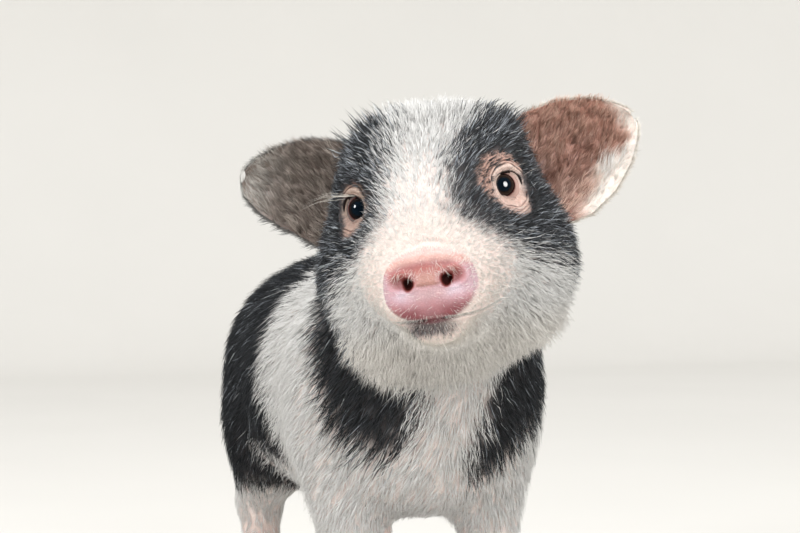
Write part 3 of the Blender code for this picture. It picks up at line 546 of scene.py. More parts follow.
def store(mesh, name, values):
    """Keeps one number, or one colour, for each vertex under a name that materials read."""
    kind = "FLOAT" if values.ndim == 1 else "FLOAT_COLOR"
    layer = mesh.attributes.new(name, kind, "POINT")
    if kind == "FLOAT":
        layer.data.foreach_set("value", values.astype(np.float32))
    else:
        rgba = np.concatenate([values, np.ones((len(values), 1))], axis=1)
        layer.data.foreach_set("color", rgba.astype(np.float32).ravel())


def add_mass(bm, centre, radii, matrix=Matrix.Identity(4)):
    """Adds one ellipsoid of flesh, or two where it lies off the middle."""
    for side in (1, -1) if centre[0] else (1,):
        place = Matrix.Translation(Vector((side * centre[0], centre[1], centre[2])) * MM)
        size = Matrix.Diagonal((*metres(radii), 1))
        bmesh.ops.create_icosphere(bm, subdivisions=3, radius=1, matrix=matrix @ place @ size)


def add_limb(bm, stations, matrix=Matrix.Identity(4), stretch=1.0, both_sides=False):
    """Adds a limb of flesh: a ball at each station and a cone from one to the next."""
    for side in (1, -1) if both_sides else (1,):
        for (start, r0), (end, r1) in zip(stations, stations[1:]):
            a = Vector((side * start[0], start[1], start[2])) * MM
            b = Vector((side * end[0], end[1], end[2])) * MM
            turn = (b - a).to_track_quat("Z", "Y").to_matrix().to_4x4()
            bmesh.ops.create_cone(
                bm,
                cap_ends=True,
                segments=20,
                radius1=r0 * MM,
                radius2=r1 * MM,
                depth=(b - a).length,
                matrix=matrix @ Matrix.Translation((a + b) / 2) @ turn,
            )
            for point, radius in ((a, r0), (b, r1)):
                size = Matrix.Diagonal((radius * MM * stretch, radius * MM, radius * MM, 1))
                bmesh.ops.create_icosphere(
                    bm, subdivisions=2, radius=1, matrix=matrix @ Matrix.Translation(point) @ size
                )


def rough_flesh():
    """The masses and limbs, laid over one another."""
    bm = bmesh.new()
    for _, centre, radii, _ in TORSO_MASSES:
        add_mass(bm, centre, radii)
    for _, centre, radii, _ in HEAD_MASSES + LIP_MASSES:
        add_mass(bm, centre, radii, HEAD)
    add_mass(bm, EYE_CENTRE, (EYE_RADIUS,) * 3, HEAD)
    add_limb(bm, SNOUT, HEAD, SNOUT_STRETCH)
    add_limb(bm, LOWER_JAW, HEAD, JAW_STRETCH)
    add_limb(bm, NECK)
    add_limb(bm, FRONT_LEG, both_sides=True)
    add_limb(bm, HIND_LEG, both_sides=True)
    add_limb(bm, TAIL)
    rx, rz = DISC_RADII
    lay = Matrix.Rotation(math.radians(90), 4, "X") @ Matrix.Diagonal((rx * MM, rz * MM, MM, 1))
    bmesh.ops.create_cone(
        bm,
        cap_ends=True,
        segments=48,
        radius1=1,
        radius2=1,
        depth=11,
        matrix=HEAD @ Matrix.Translation(Vector(DISC_CENTRE) * MM) @ lay,
    )
    return object_from("skin", bm)


def refine(obj, inside):
    """Splits the faces that lie inside a region in four, and lays the new corners on the skin."""
    bm = bmesh.new()
    bm.from_mesh(obj.data)
    chosen = inside(places_of(obj.data))
    edges = [e for e in bm.edges if chosen[e.verts[0].index] and chosen[e.verts[1].index]]
    bmesh.ops.subdivide_edges(bm, edges=edges, cuts=1, use_grid_fill=True)
    bmesh.ops.triangulate(bm, faces=[f for f in bm.faces if len(f.verts) > 4])
    bm.to_mesh(obj.data)
    bm.free()
    places = places_of(obj.data)
    near = inside(places)
    places[near] = on_skin(places[near], 3)
    put_places(obj.data, places)


def gaze_frame(side):
    """From a frame at the eye's middle, z out along the gaze and x across the lids, to the head's own."""
    out = Vector((EYE_GAZE[0] * side, EYE_GAZE[1], EYE_GAZE[2])).normalized()
    across = Vector((0, 0, 1)).cross(out).normalized()
    turn = Matrix((across, out.cross(across), out)).transposed().to_4x4()
    return Matrix.Translation(Vector((EYE_CENTRE[0] * side, *EYE_CENTRE[1:])) * MM) @ turn


def eye_place(own, side):
    """Where points lie by an eye: millimetres off the gaze, which way round from outwards, how far out."""
    q = turned(own, gaze_frame(side).inverted()) / MM * (side, 1, 1)
    return np.hypot(q[:, 0], q[:, 1]), np.arctan2(q[:, 1], q[:, 0]), q


def off_eye(own, side):
    """How far points lie from the middle of an eye."""
    return np.linalg.norm(own - metres(EYE_CENTRE) * (side, 1, 1), axis=1)


def margin_at(around, side):
    """How far off the gaze the lids' edge lies, for each way round from outwards."""
    x, y = np.array(LID_EDGES[side]).T
    turn = np.arctan2(y, x)
    order = np.argsort(turn)
    turn, off = turn[order], np.hypot(x, y)[order]
    nearby = [np.interp(around + step, turn, off, period=2 * math.pi) for step in (-0.1, 0, 0.1)]
    return np.minimum(sum(nearby) / 3, 8.1)


def bare_edge(around, side):
    """How far off the gaze the thin-haired skin reaches, and how far the quite bare skin inside it does."""
    turns, edges = np.array(BARE_BY_EYE[side]).T
    thin = np.interp(np.degrees(around), turns, edges)
    low = np.exp(-(((np.degrees(around) + 95) / 62) ** 6))
    return thin, np.minimum(thin, 10.6 + 6 * low)


def lid_share(margin):
    """How much of the folds' full width there is room for between the lids' edge and the socket's."""
    return (11.4 - margin) / 6.4


def mouth_line():
    """Points along the line of the mouth on the skin, from corner to corner, in the head's own frame."""
    turns = np.linspace(-MOUTH_REACH, MOUTH_REACH, 81)
    heights = MOUTH_FRONT_HEIGHT + MOUTH_RISE * (1 - np.cos(turns))
    out = np.stack([np.sin(turns), -np.cos(turns), 0 * turns], axis=1)
    start = np.stack([0 * turns + MOUTH_PIVOT[0], 0 * turns + MOUTH_PIVOT[1], heights], axis=1) * MM
    reach = np.zeros(len(turns))
    for _ in range(60):
        reach += np.clip(-jaws_distance(start + reach[:, None] * out), 0, 2 * MM)
    return start + reach[:, None] * out


def off_line(points, line):
    """The distance of points from a line given by its points, and their place along it from 0 to 1."""
    best = np.full(len(points), 1.0)
    share = np.zeros(len(points))
    for k, (a, b) in enumerate(zip(line, line[1:])):
        t = np.clip((points - a) @ (b - a) / ((b - a) @ (b - a)), 0, 1)
        d = np.linalg.norm(points - a - t[:, None] * (b - a), axis=1)
        nearer = d < best
        best[nearer] = d[nearer]
        share[nearer] = (k + t[nearer]) / (len(line) - 1)
    return best, share


def nostril_place(x, z, side):
    """How far points of the disc lie from a nostril's middle, as a share of its slanting outline."""
    right, up = (x * side - NOSTRIL_AT[0]) / NOSTRIL_RADII[0], (z - NOSTRIL_AT[1]) / NOSTRIL_RADII[1]
    turn = np.arctan2(up, right)
    drawn_out = 0.22 * np.exp(-(((turn - 0.5) / 0.55) ** 2))
    return np.hypot(right, up) / (1 + drawn_out + 0.05 * np.sin(turn * 3 + side))


def near_disc(points, back=1.0):
    """Where the skin is fine enough for the disc at the snout's end."""
    own = in_head(points) / MM
    return own[:, 1] < DISC_CENTRE[1] + 10 * back


def near_eyes(points, reach=17.5):
    """Where the skin is fine enough for the folds round the eyes."""
    own = in_head(points)
    return balls_distance(own, metres(EYE_CENTRE), reach * MM) < 0


def by_mouth(own):
    """Which points are low and far enough forward for the mouth's line to pass them."""
    return np.flatnonzero((own[:, 1] < 5 * MM) & (own[:, 2] < -35 * MM))


def near_mouth(points, line, reach=3.2):
    """Where the skin is fine enough for the line of the mouth."""
    own = in_head(points)
    close = np.zeros(len(points), bool)
    ahead = by_mouth(own)
    close[ahead] = off_line(own[ahead], line)[0] < reach * MM
    return close


def near_nostrils(points):
    """Where the skin is fine enough for the nostrils."""
    x, z, ahead = disc_place(in_head(points))
    return (nearer_side(nostril_place, x, z) < 2.3) & (ahead > 1)


def hollow_place(x, z, side):
    """How far points of the disc lie from the middle of the shallow hollow that a nostril opens in."""
    out, up, wide, high = NOSTRIL_HOLLOW
    return np.hypot((x * side - NOSTRIL_AT[0] - out) / wide, (z - NOSTRIL_AT[1] - up) / high)


def nearer_side(place, x, z):
    """How far points of the disc lie from the nearer one of a pair of nostrils or hollows."""
    return np.minimum(place(x, z, 1), place(x, z, -1))


def disc_relief(own):
    """How far the disc's face stands out: the plate between the nostrils, the lobes below, the grooves."""
    x, z, ahead = disc_place(own)
    front = fade(ahead, 1.5, 4.0)
    plate = 0.5 * np.exp(-((x / 5.0) ** 4)) * fade(z, -1.8, -0.6) * fade(z, 9, 5)
    lobes = 0.9 * bump(np.abs(x), 8.6, 5.4) * bump(z, -6.5, 3.8)
    roll = 0.8 * bump(z, 10.5, 2.8) * bump(x, 0, 14) - 0.45 * bump(z, 6.2, 1.8) * bump(x, 0, 12)
    groove = -0.6 * bump(z, -1.2, 0.7) * np.exp(-((x / 6.5) ** 4)) - 0.6 * bump(x, 0, 1.8) * fade(z, -6, -11)
    total = plate + lobes + roll + groove
    for side in (1, -1):
        hole = nostril_place(x, z, side)
        hollow = hollow_place(x, z, side)
        total += 0.4 * bump(hollow, 1.25, 0.22)
        total -= 1.7 * fade(hollow, 1.1, 0.25)
        total -= NOSTRIL_DEPTH * fade(hole, 1.25, 0.35)
    return total * front


def wrinkles(off, around, side):
    """The folds of skin round an eye, by how far off the gaze and which way round a point lies."""
    upper = fade(np.sin(around), -0.25, 0.3)
    lower = fade(np.sin(around), 0.1, -0.5)
    waver = 0.5 * np.sin(around * 5 + side) + 0.3 * np.sin(around * 9 + 2)
    total = np.zeros(len(off))
    for place, depth in ((10.4, 0.6), (11.8, 0.5), (13.1, 0.5), (14.5, 0.45), (15.9, 0.4), (17.3, 0.35)):
        total -= depth * upper * bump(off, place + 0.6 * waver, 0.36)
    for place, depth in ((9.8, 0.45), (11.2, 0.45), (12.6, 0.4), (14.0, 0.35)):
        total -= depth * lower * bump(off, place + 0.8 * waver, 0.36)
    total += 0.35 * upper * bump(off, 11.1, 0.5) + 0.3 * lower * bump(off, 10.5, 0.6)
    return total * fade(off, 8.4, 9.4) * fade(off, 19.5, 16.5)


def carve(skin, line):
    """Sinks the eyes' pockets, the nostrils and the mouth into the skin, and raises folds and lips."""
    mesh = skin.data
    places, normals = places_of(mesh), normals_of(mesh)
    own = in_head(places)
    ways = normals @ np.array(HEAD.to_3x3())
    move = np.zeros(len(own))
    face = np.flatnonzero(own[:, 1] < 30 * MM)
    part = own[face]
    x, z, ahead = disc_place(part)
    off, share = off_line(part, line)
    off = off / MM
    ends = fade(np.minimum(share, 1 - share), 0.0, 0.06)
    lips = 0.45 * bump(off, 2.0, 0.9) - MOUTH_DEPTH * fade(off, MOUTH_WIDTH * 1.5, MOUTH_WIDTH * 0.3)
    crease = -0.35 * bump(ahead, -9.3, 1.2) - 0.25 * bump(ahead, -12.6, 1.2) + 0.25 * bump(ahead, -11.0, 1.2)
    crease *= fade(z, 6, 11) * bump(x, 3, 11) * (own[face, 1] < -55 * MM)
    total = lips * ends + crease
    for side in (1, -1):
        radius, around, _ = eye_place(part, side)
        near = off_eye(part, side) < 24 * MM
        total += np.where(near, wrinkles(radius, around, side), 0)
    move[face] = total
    own = own + ways * (move * MM)[:, None]
    own[face, 1] -= disc_relief(part) * MM
    for side in (1, -1):
        centre = metres(EYE_CENTRE) * (side, 1, 1)
        radius, around, q = eye_place(own, side)
        way = own - centre
        out = np.linalg.norm(way, axis=1)
        margin = margin_at(around, side)
        edge = margin + 2.3 * lid_share(margin)
        sunk = fade(radius, edge + 0.8, edge) * (out < 13 * MM) * (q[:, 2] > 0)
        target = centre + way / np.maximum(out, 1e-9)[:, None] * POCKET_RADIUS * MM
        own = own + sunk[:, None] * (target - own)
    put_places(mesh, turned(own, HEAD))


def make_skin():
    """The whole skin without its ears: even on the body, fine on the face, finest at the openings."""
    skin = rough_flesh()
    remesh = skin.modifiers.new("remesh", "REMESH")
    remesh.mode = "VOXEL"
    remesh.voxel_size = VOXEL * MM
    apply_modifiers(skin)
    put_places(skin.data, on_skin(places_of(skin.data)))
    line = mouth_line()

    def on_face(points):
        """Where the skin is fine enough for the face."""
        own = in_head(points)
        return (own[:, 1] < FACE_SPAN[0] * MM) & (np.linalg.norm(own, axis=1) < FACE_SPAN[1] * MM)

    refine(skin, on_face)
    refine(skin, lambda p: near_disc(p) | near_eyes(p) | near_mouth(p, line))
    refine(skin, lambda p: near_nostrils(p) | near_eyes(p, 14.5))
    bm = bmesh.new()
    bm.from_mesh(skin.data)
    bmesh.ops.triangulate(bm, faces=bm.faces)
    bm.to_mesh(skin.data)
    bm.free()
    carve(skin, line)
    return skin, line


# ---- ears ----
def ear_middle(along, across, side):
    """The middle of the ear's wall: along from 0 at the root to 1, across from -1 to 1, in millimetres."""
    wide = read_off(EAR_HALF_WIDTHS, along)
    if side < 0:
        wide = wide * (1 - 0.26 * fade(across, 0.1, -0.8) * np.sin(math.pi * np.clip(along, 0, 1)) ** 0.8)
    cup = EAR_CUP[0] + (EAR_CUP[1] - EAR_CUP[0]) * along
    p = EAR_ROOT + (EAR_TIP - EAR_ROOT) * along[:, None] + EAR_UP * (wide * across)[:, None]
    p[:, 1] -= cup * across**2 * np.where(across > 0, *EAR_CUP_SHARES)
    p[:, 1] += EAR_BOW * np.sin(math.pi * np.clip(along, 0, 1))
    return p * (side, 1, 1)


def ear_out(along, across, side):
    """The way out of the ear's hollow side."""
    step = 0.01
    length = ear_middle(along + step, across, side) - ear_middle(along - step, across, side)
    width = ear_middle(along, across + step, side) - ear_middle(along, across - step, side)
    out = unit(np.cross(length, width))
    return out * np.where(out[:, 1] > 0, -1, 1)[:, None]


def ear_relief(along, across):
    """Long low ridges that fan out from the root inside the ear."""
    inner = fade(1 - np.abs(across), 0.05, 0.3) * fade(along, 1.0, 0.75)
    fan = across * (1.0 + 0.35 * along)
    long = 0.4 * np.cos(fan * 13) + 0.15 * np.cos(fan * 27 + 4 * along)
    cross = 0.3 * np.sin(along * 34 + 3 * np.sin(across * 5)) * np.cos(across * 4)
    return inner * fade(along, 0.0, 0.2) * (long + cross)


def ear_half(bm, side, front):
    """One face of the ear as a grid; the front face carries the ridges, and both flare at the root."""
    layer = bm.verts.layers.float.get("ear")
    made = bmesh.ops.create_grid(bm, x_segments=58, y_segments=46, size=1)["verts"]
    flat = np.array([v.co for v in made])
    along = np.sin((flat[:, 0] + 1) / 2 * math.pi / 2) * 1.12 - 0.12
    across = np.sin(flat[:, 1] * math.pi / 2)
    rim = np.minimum(1 - np.abs(across), (1 - along) * 1.6)
    thick = EAR_THICKNESS * (0.45 + 0.55 * fade(rim, 0, 0.2)) + 7 * np.clip(1 - along / 0.2, 0, 1.6) ** 2
    raised = thick / 2 + (ear_relief(along, across) if front else 0)
    raised = raised * (1 if front else -1)
    places = ear_middle(along, across, side) + ear_out(along, across, side) * raised[:, None]
    for v, place in zip(made, places):
        v.co = place * MM
        v[layer] = side * (1 if front else 2)
    return made


def add_ears(skin):
    """Both ears, their two faces joined at the rim, in one mesh with the skin."""
    bm = bmesh.new()
    bm.from_mesh(skin.data)
    bm.verts.layers.float.new("ear")
    for side, _ in SIDES:
        rims = []
        for front in (True, False):
            made = set(ear_half(bm, side, front))
            faces = {f for v in made for f in v.link_faces}
            rims += [e for f in faces for e in f.edges if e.is_boundary]
            bmesh.ops.transform(bm, matrix=HEAD, verts=list(made))
        made_before = set(bm.faces)
        bmesh.ops.bridge_loops(bm, edges=list(set(rims)))
        grown = {v for f in set(bm.faces) - made_before for v in f.verts}
        ear_faces = {f for v in grown for f in v.link_faces}
        spreading = ear_faces
        while spreading:
            nearby = {f for g in spreading for e in g.edges for f in e.link_faces} - ear_faces
            ear_faces |= nearby
            spreading = nearby
        bmesh.ops.recalc_face_normals(bm, faces=list(ear_faces))
    bmesh.ops.triangulate(bm, faces=bm.faces)
    bm.to_mesh(skin.data)
    bm.free()
    return skin


# ---- colours of the skin ----
def disc_colour(own, base):
    """The pinks of the snout's disc: pale lobes and rim, a red band over the nostrils, painted shade inside
    them.
    """
    x, z, ahead = disc_place(own)
    on_disc = fade(ahead, -8, -6) * fade(rim_share(own), 1.15, 1.04)
    uneven = swells(own, 5, 41)
    pink = all_over(DISC_PINK, len(own))
    pink = blend(pink, DISC_LOW, 0.9 * fade(z, -7, -12) * (0.45 + 0.55 * fade(np.abs(x), 1, 7)))
    pink = blend(pink, DISC_PALE, 0.9 * bump(np.abs(x), 10.4, 5.6) * bump(z, -4.4, 2.8))
    pink = blend(pink, DISC_MIDDLE, 0.8 * np.exp(-((x / 8) ** 4)) * bump(z, -4.4, 3.0))
    pink = blend(pink, DISC_PALE, 0.45 * fade(np.abs(x), 14.5, 18) * fade(z, 8, 0) * fade(z, -10, -5))
    high = z + 0.012 * x * x
    band = 0.95 * bump(high, 6.0, 2.9) * fade(np.abs(x), 18, 13) + 0.12 * uneven
    pink = blend(pink, DISC_BAND, np.clip(band, 0, 1))
    pink = blend(pink, DISC_TOP, fade(high, 7.5, 10.5))
    pink = blend(pink, DISC_PLATE, 0.9 * np.exp(-((x / 5.2) ** 4)) * fade(z, -1.8, -0.8) * fade(z, 6.5, 2.5))
    pink = blend(pink, DISC_RIM, fade(high, 11.0, 13.2))
    hole = nearer_side(nostril_place, x, z)
    hollow = nearer_side(hollow_place, x, z)
    pink = blend(pink, NOSTRIL_RED, (0.7 + 0.2 * uneven) * fade(hollow, 1.1, 0.45) * fade(ahead, -2, 1))
    pink = blend(pink, NOSTRIL_RED, fade(hole, 1.4, 0.95) * fade(ahead, -6, -3))
    # Painted shade deep in the nostril holes.
    pink = blend(pink, NOSTRIL_PAINTED_SHADE, fade(hole, 1.05, 0.75) * fade(ahead, -6, -3))
    # Painted shade along the carved crease above the disc.
    fold = bump(ahead, -9.3, 1.3) * fade(z, 6, 11) * bump(x, 3, 9) * (own[:, 1] < -55 * MM)
    base = blend(base, DISC_CREASE_PAINTED_SHADE, 0.5 * fold)
    return blend(base, pink * (1 + 0.06 * uneven)[:, None], on_disc)


def eye_colour(own, base):
    """The bare skin round the eyes, paler at the lids, brown at the brow, with painted shade in its folds and
    darker copies for the right eye as painted shade.
    """
    out = base
    for k, (side, _) in enumerate(SIDES):
        radius, around, _ = eye_place(own, side)
        near = fade(off_eye(own, side), 26 * MM, 20 * MM)
        edge, full = bare_edge(around, side)
        brow = fade(radius, full - 1.5, full + 2.0) * fade(np.sin(around), -0.5, 0.1)
        # The right eye's skins are darker copies: painted shade.
        lid = blend(all_over(LID_SKINS_LIT_AND_SHADED[k], len(own)), BROW_SKINS_LIT_AND_SHADED[k], brow)
        uneven = 0.65 + 0.35 * np.sin(radius * 3 + around * 2)
        lid = blend(lid, LID_PINKS_LIT_AND_SHADED[k], fade(np.sin(around), 0.0, -0.6) * uneven)
        lid *= (1 + 0.12 * swells(own, 3.2, 43 + k) + 0.16 * swells(own, 1.3, 45 + k))[:, None]
        outer = fade(np.cos(around), 0.72, 0.93) if side > 0 else fade(np.cos(around), 0.45, 0.72)
        lid = blend(lid, DARK_SKIN, outer * fade(radius, 7.9, 8.8))
        out = blend(out, lid, fade(radius, edge + 2.2, edge - 1.2) * near)
        # Painted shade along the carved folds.
        creases = np.clip(-wrinkles(radius, around, side) * 1.9, 0, 0.9)
        out = blend(out, LID_CREASE_PAINTED_SHADE, creases * near * fade(radius, edge + 2, edge))
    return out


def lip_shade(own):
    """The share of dark hair and skin on the lower lip's front, right under the disc."""
    s, y, h = (own / MM).T
    return np.exp(-(((s + 3) / 10.5) ** 4)) * fade(h, -60.5, -56.5) * fade(h, -47, -50.5) * fade(y, -52, -60)


def skin_colour(points, ear, line):
    """The skin's colour at each point, with the same white and black as the coat."""
    own = in_head(points)
    white = whiteness(points, 1.6)
    mottle = 0.5 + 0.5 * swells(points, 7, 9)
    pale = blend(PINK_SKIN, MUZZLE_SKIN, fade(own[:, 1], -20 * MM, -58 * MM))
    pale = blend(pale, LEG_SKIN, fade(points[:, 2], 75 * MM, 30 * MM))
    colour = blend(all_over(DARK_SKIN, len(points)), pale, white)
    colour *= (0.92 + 0.16 * mottle)[:, None]
    colour = eye_colour(own, colour)
    colour = blend(colour, LIP_DARK, 0.95 * lip_shade(own))
    off, share = np.full(len(points), 1.0), np.zeros(len(points))
    low = by_mouth(own)
    off[low], share[low] = off_line(own[low], line)
    ends = fade(np.minimum(share, 1 - share), 0.0, 0.05)
    colour = disc_colour(own, colour)
    # Painted shade along the mouth's groove, over the lips' red.
    colour = blend(colour, MOUTH_RED_PAINTED_SHADE, fade(off, 1.3 * MM, 0.5 * MM) * ends)
    for side, _ in SIDES:
        colour = ear_colour(points, own, colour, ear, side)
    return colour


def ear_share(own, side):
    """How far along an ear, from its root, and how far across, in millimetres, points lie."""
    q = own / MM * (side, 1, 1) - EAR_ROOT
    length = EAR_TIP - EAR_ROOT
    return q @ length / (length @ length), q @ EAR_UP


def ear_mirror(ears):
    """What turns points by the right ear over to the left one, from each point's ear mark."""
    return np.stack([np.sign(ears), np.ones(len(ears)), np.ones(len(ears))], axis=1)


def ear_rim_share(own, ears):
    """1 at an ear's rim and 0 well inside it."""
    along, across = ear_share(own * ear_mirror(ears), 1)
    return fade(np.maximum(np.abs(across) / read_off(EAR_HALF_WIDTHS, along), along), 0.78, 0.97)


def ear_colour(points, own, base, ear, side):
    """Black behind; inside, dark at the root and paler to the rim, brown on one ear and grey on the other."""
    along, across = ear_share(own, side)
    patches = 0.5 + 0.5 * swells(points, 13, 21)
    count = len(points)
    if side > 0:
        inside = blend(all_over(EAR_ROOT_SKIN, count), EAR_MID_SKIN, fade(along, 0.1, 0.4))
        inside = blend(inside, EAR_PALE_SKIN, np.clip(1.25 * pale_in_ear(along, across), 0, 1))
        inside *= (0.86 + 0.25 * patches)[:, None]
    else:
        inside = blend(all_over(EAR_ROOT_SKIN, count) * 0.5, EAR_GREY_SKIN, fade(along, 0.1, 0.4))
        inside = blend(inside, EAR_GREY_TIP_SKIN, 0.8 * fade(along, 0.5, 0.95))
    out = blend(base, inside, (ear == side) * 1.0)
    behind = blend(all_over(DARK_SKIN, count), EAR_PALE_SKIN, ear_rim_share(own, ear) * (side > 0))
    return blend(out, behind, (ear == 2 * side) * 1.0)


def pale_in_ear(along, across):
    """The cream part of the ear's hollow: low down and out, and along its lower rim to the tip."""
    low = fade(across, -8, -15) * fade(along, 0.44, 0.60)
    rim = fade(-across / read_off(EAR_HALF_WIDTHS, along), 0.66, 0.90) * fade(along, 0.22, 0.45)
    return np.clip(low + rim + 0.9 * fade(along, 0.84, 0.96), 0, 1)


def rows_in_ear(along, across):
    """Two dark rows across the tan ear's hollow, and the share of paler hair under them."""
    height = across + 1.5 * np.sin(9 * along)
    rows = bump(height, -3.5, 3.2) + bump(height, -12.5, 2.4)
    rows = rows * fade(along, 0.04, 0.18) * fade(along, 0.76, 0.55)
    return np.clip(rows, 0, 1), fade(across, -10, -17)


def unwrap(obj):
    """An unwrap of the skin's own shape, on which each tuft of the coat then has its patch."""
    bpy.context.view_layer.objects.active = obj
    obj.select_set(True)
    obj.data.uv_layers.new(name="OFBake")
    bpy.ops.object.mode_set(mode="EDIT")
    bpy.ops.mesh.select_all(action="SELECT")
    bpy.ops.uv.smart_project(angle_limit=math.radians(70), island_margin=0.001)
    bpy.ops.object.mode_set(mode="OBJECT")
    obj.select_set(False)


def ear_marks(mesh):
    """For each vertex, 1 or -1 inside the left or right ear, 2 or -2 behind it and 0 off the ears."""
    marks = np.zeros(len(mesh.vertices), np.float32)
    mesh.attributes["ear"].data.foreach_get("value", marks)
    return np.round(marks)


# ---- the coat ----
# Millimetres of coat: down the face from the snout, and by height on the legs and on the tail.
FACE_COAT = (
    (-74, 2.2), (-68, 2.6), (-60, 3.4), (-46, 4.8), (-30, 7.2), (-12, 10.0), (5, 12.5), (25, 14.5),
    (50, 17),
)
LEG_COAT = ((14, 3.6), (30, 4.8), (60, 7.0), (100, 13))
TAIL_COAT = ((116, 24), (150, 13), (190, 9))
BODY_COAT = 21.0
NECK_COAT = 18.0
# Strands a square millimetre, down the face from the snout; the body has fewer and longer ones.
FACE_STRANDS = ((-72, 2.3), (-60, 2.2), (-30, 2.0), (0, 1.8), (30, 1.3), (52, 0.8))
BODY_STRANDS = 0.44
# How many black hairs have pale tips: on the body, and more of them on the head.
GRIZZLED = (0.035, 0.19)
TUFT_STRANDS = 6
TUFT_PATCH = 0.0029
STRAND_FLAT = 0.6
# Pale roots darker than their tips, a little for short hair and more for long: painted shade deep in the coat.
PAINTED_ROOT_SHADES = (0.93, 0.74)
STRAND_WIDTHS = (0.15, 0.20, 0.26, 0.42)
STRAIGHT_UNDER = 6.5
HELD_FROM = 6
STRAIGHT_STRANDS = 49000
CURVED_STRANDS = 19500


def surface_of(obj):
    """A mesh's triangles as arrays: corners, normals, places on the unwrap, areas and ear marks."""
    mesh = obj.data
    mesh.calc_loop_triangles()
    corners = np.empty(len(mesh.loop_triangles) * 3, np.int32)
    loops = np.empty(len(mesh.loop_triangles) * 3, np.int32)
    mesh.loop_triangles.foreach_get("vertices", corners)
    mesh.loop_triangles.foreach_get("loops", loops)
    corners = corners.reshape(-1, 3)
    flat = np.empty(len(mesh.loops) * 2, np.float32)
    mesh.uv_layers["OFBake"].data.foreach_get("uv", flat)
    places = places_of(mesh)[corners]
    cross = np.cross(places[:, 1] - places[:, 0], places[:, 2] - places[:, 0])
    return {
        "places": places,
        "normals": normals_of(mesh)[corners],
        "maps": flat.reshape(-1, 2)[loops].reshape(-1, 3, 2),
        "areas": np.linalg.norm(cross, axis=1) / 2 / MM**2,
        "ears": ear_marks(mesh)[corners[:, 0]],
    }


def spread(surface, per_mm2, draw):
    """Roots spread evenly over the triangles, so many a square millimetre: places, normals and maps."""
    edges = np.cumsum(per_mm2 * surface["areas"])
    count = int(edges[-1])
    picks = (np.arange(count) + draw.uniform(0, 1, count)) * edges[-1] / count
    chosen = np.minimum(np.searchsorted(edges, picks), len(edges) - 1)
    u, v = draw.uniform(0, 1, (2, count))
    over = u + v > 1
    u[over], v[over] = 1 - u[over], 1 - v[over]
    shares = np.stack([1 - u - v, u, v], axis=1)[:, :, None]
    places = (surface["places"][chosen] * shares).sum(axis=1)
    normals = unit((surface["normals"][chosen] * shares).sum(axis=1))
    return places, normals, (surface["maps"][chosen] * shares).sum(axis=1), surface["ears"][chosen]


def bare_share(points):
    """1 where no coat grows: at the lids, on the disc and near the soles; less at the brows."""
    own = in_head(points)
    bare = np.zeros(len(points))
    for side, _ in SIDES:
        radius, around, q = eye_place(own, side)
        near = (off_eye(own, side) < 26 * MM) * (q[:, 2] > -4)
        edge, full = bare_edge(around, side)
        bare = np.maximum(bare, fade(radius, full + 0.9, full - 0.7) * near)
        bare = np.maximum(bare, 0.3 * fade(radius, edge + 1.5, edge - 1.0) * near)
    bare = np.maximum(bare, fade(own[:, 1], -70.0 * MM, -71.6 * MM))
    return np.maximum(bare, fade(points[:, 2], 15 * MM, 11 * MM))


def near_eye_share(own):
    """1 at the lids and 0 a finger's breadth off, for hair that grows short round the eyes."""
    share = np.zeros(len(own))
    for side, _ in SIDES:
        radius, around, q = eye_place(own, side)
        near = (off_eye(own, side) < 28 * MM) * (q[:, 2] > -6)
        edge, _ = bare_edge(around, side)
        share = np.maximum(share, fade(radius, edge + 6, edge - 1) * near)
    return share


def coat_at(points, normals):
    """The coat's length and its tips' height in millimetres, its strands a square millimetre, and its lie."""
    own = in_head(points) / MM
    _, y, z = (points / MM).T
    s, front, up = own.T
    head = fade(past_head_plane(points), -16, 10)
    cheek = fade(np.abs(s), 20, 38) * fade(up, 0, -18) * fade(front, -40, -15)
    chin = fade(up, -50, -60)
    face_length = read_off(FACE_COAT, front)
    face_length += 3.0 * cheek + 2.4 * chin * fade(front, -64, -45)
    temple = fade(np.abs(s), 36, 44) * fade(up, -26, -12) * fade(front, 4, 16)
    face_length -= 5.5 * temple
    face_length *= 1 - 0.6 * near_eye_share(in_head(points))
    crown = fade(up, 16, 32) * fade(front, -14, 4)
    face_rise = face_length * (0.27 + 0.28 * crown + 0.12 * cheek + 0.12 * chin - 0.1 * temple)
    leg = fade(z, 118, 84)
    low = fade(normals[:, 2], -0.2, -0.75)
    body_length = BODY_COAT + 3 * fade(normals[:, 2], 0.2, 0.8) - 8 * low
    body_length = np.where(y < -90, NECK_COAT, body_length)
    body_length += (read_off(LEG_COAT, z) - body_length) * leg
    body_rise = body_length * 0.20
    tail = fade(y, 148, 156)
    body_length += (read_off(TAIL_COAT, z) - body_length) * tail
    length = body_length + (face_length - body_length) * head
    rise = body_rise + (face_rise - body_rise) * head
    dense = read_off(FACE_STRANDS, front)
    dense += 1.7 * fade(front, -42, -56)
    rest = BODY_STRANDS + 0.35 * leg + 0.5 * tail - 0.18 * low
    dense = rest + (dense - rest) * head
    dense *= 1 - bare_share(points)
    return length, rise, dense, coat_lie(points, normals, head, tail)


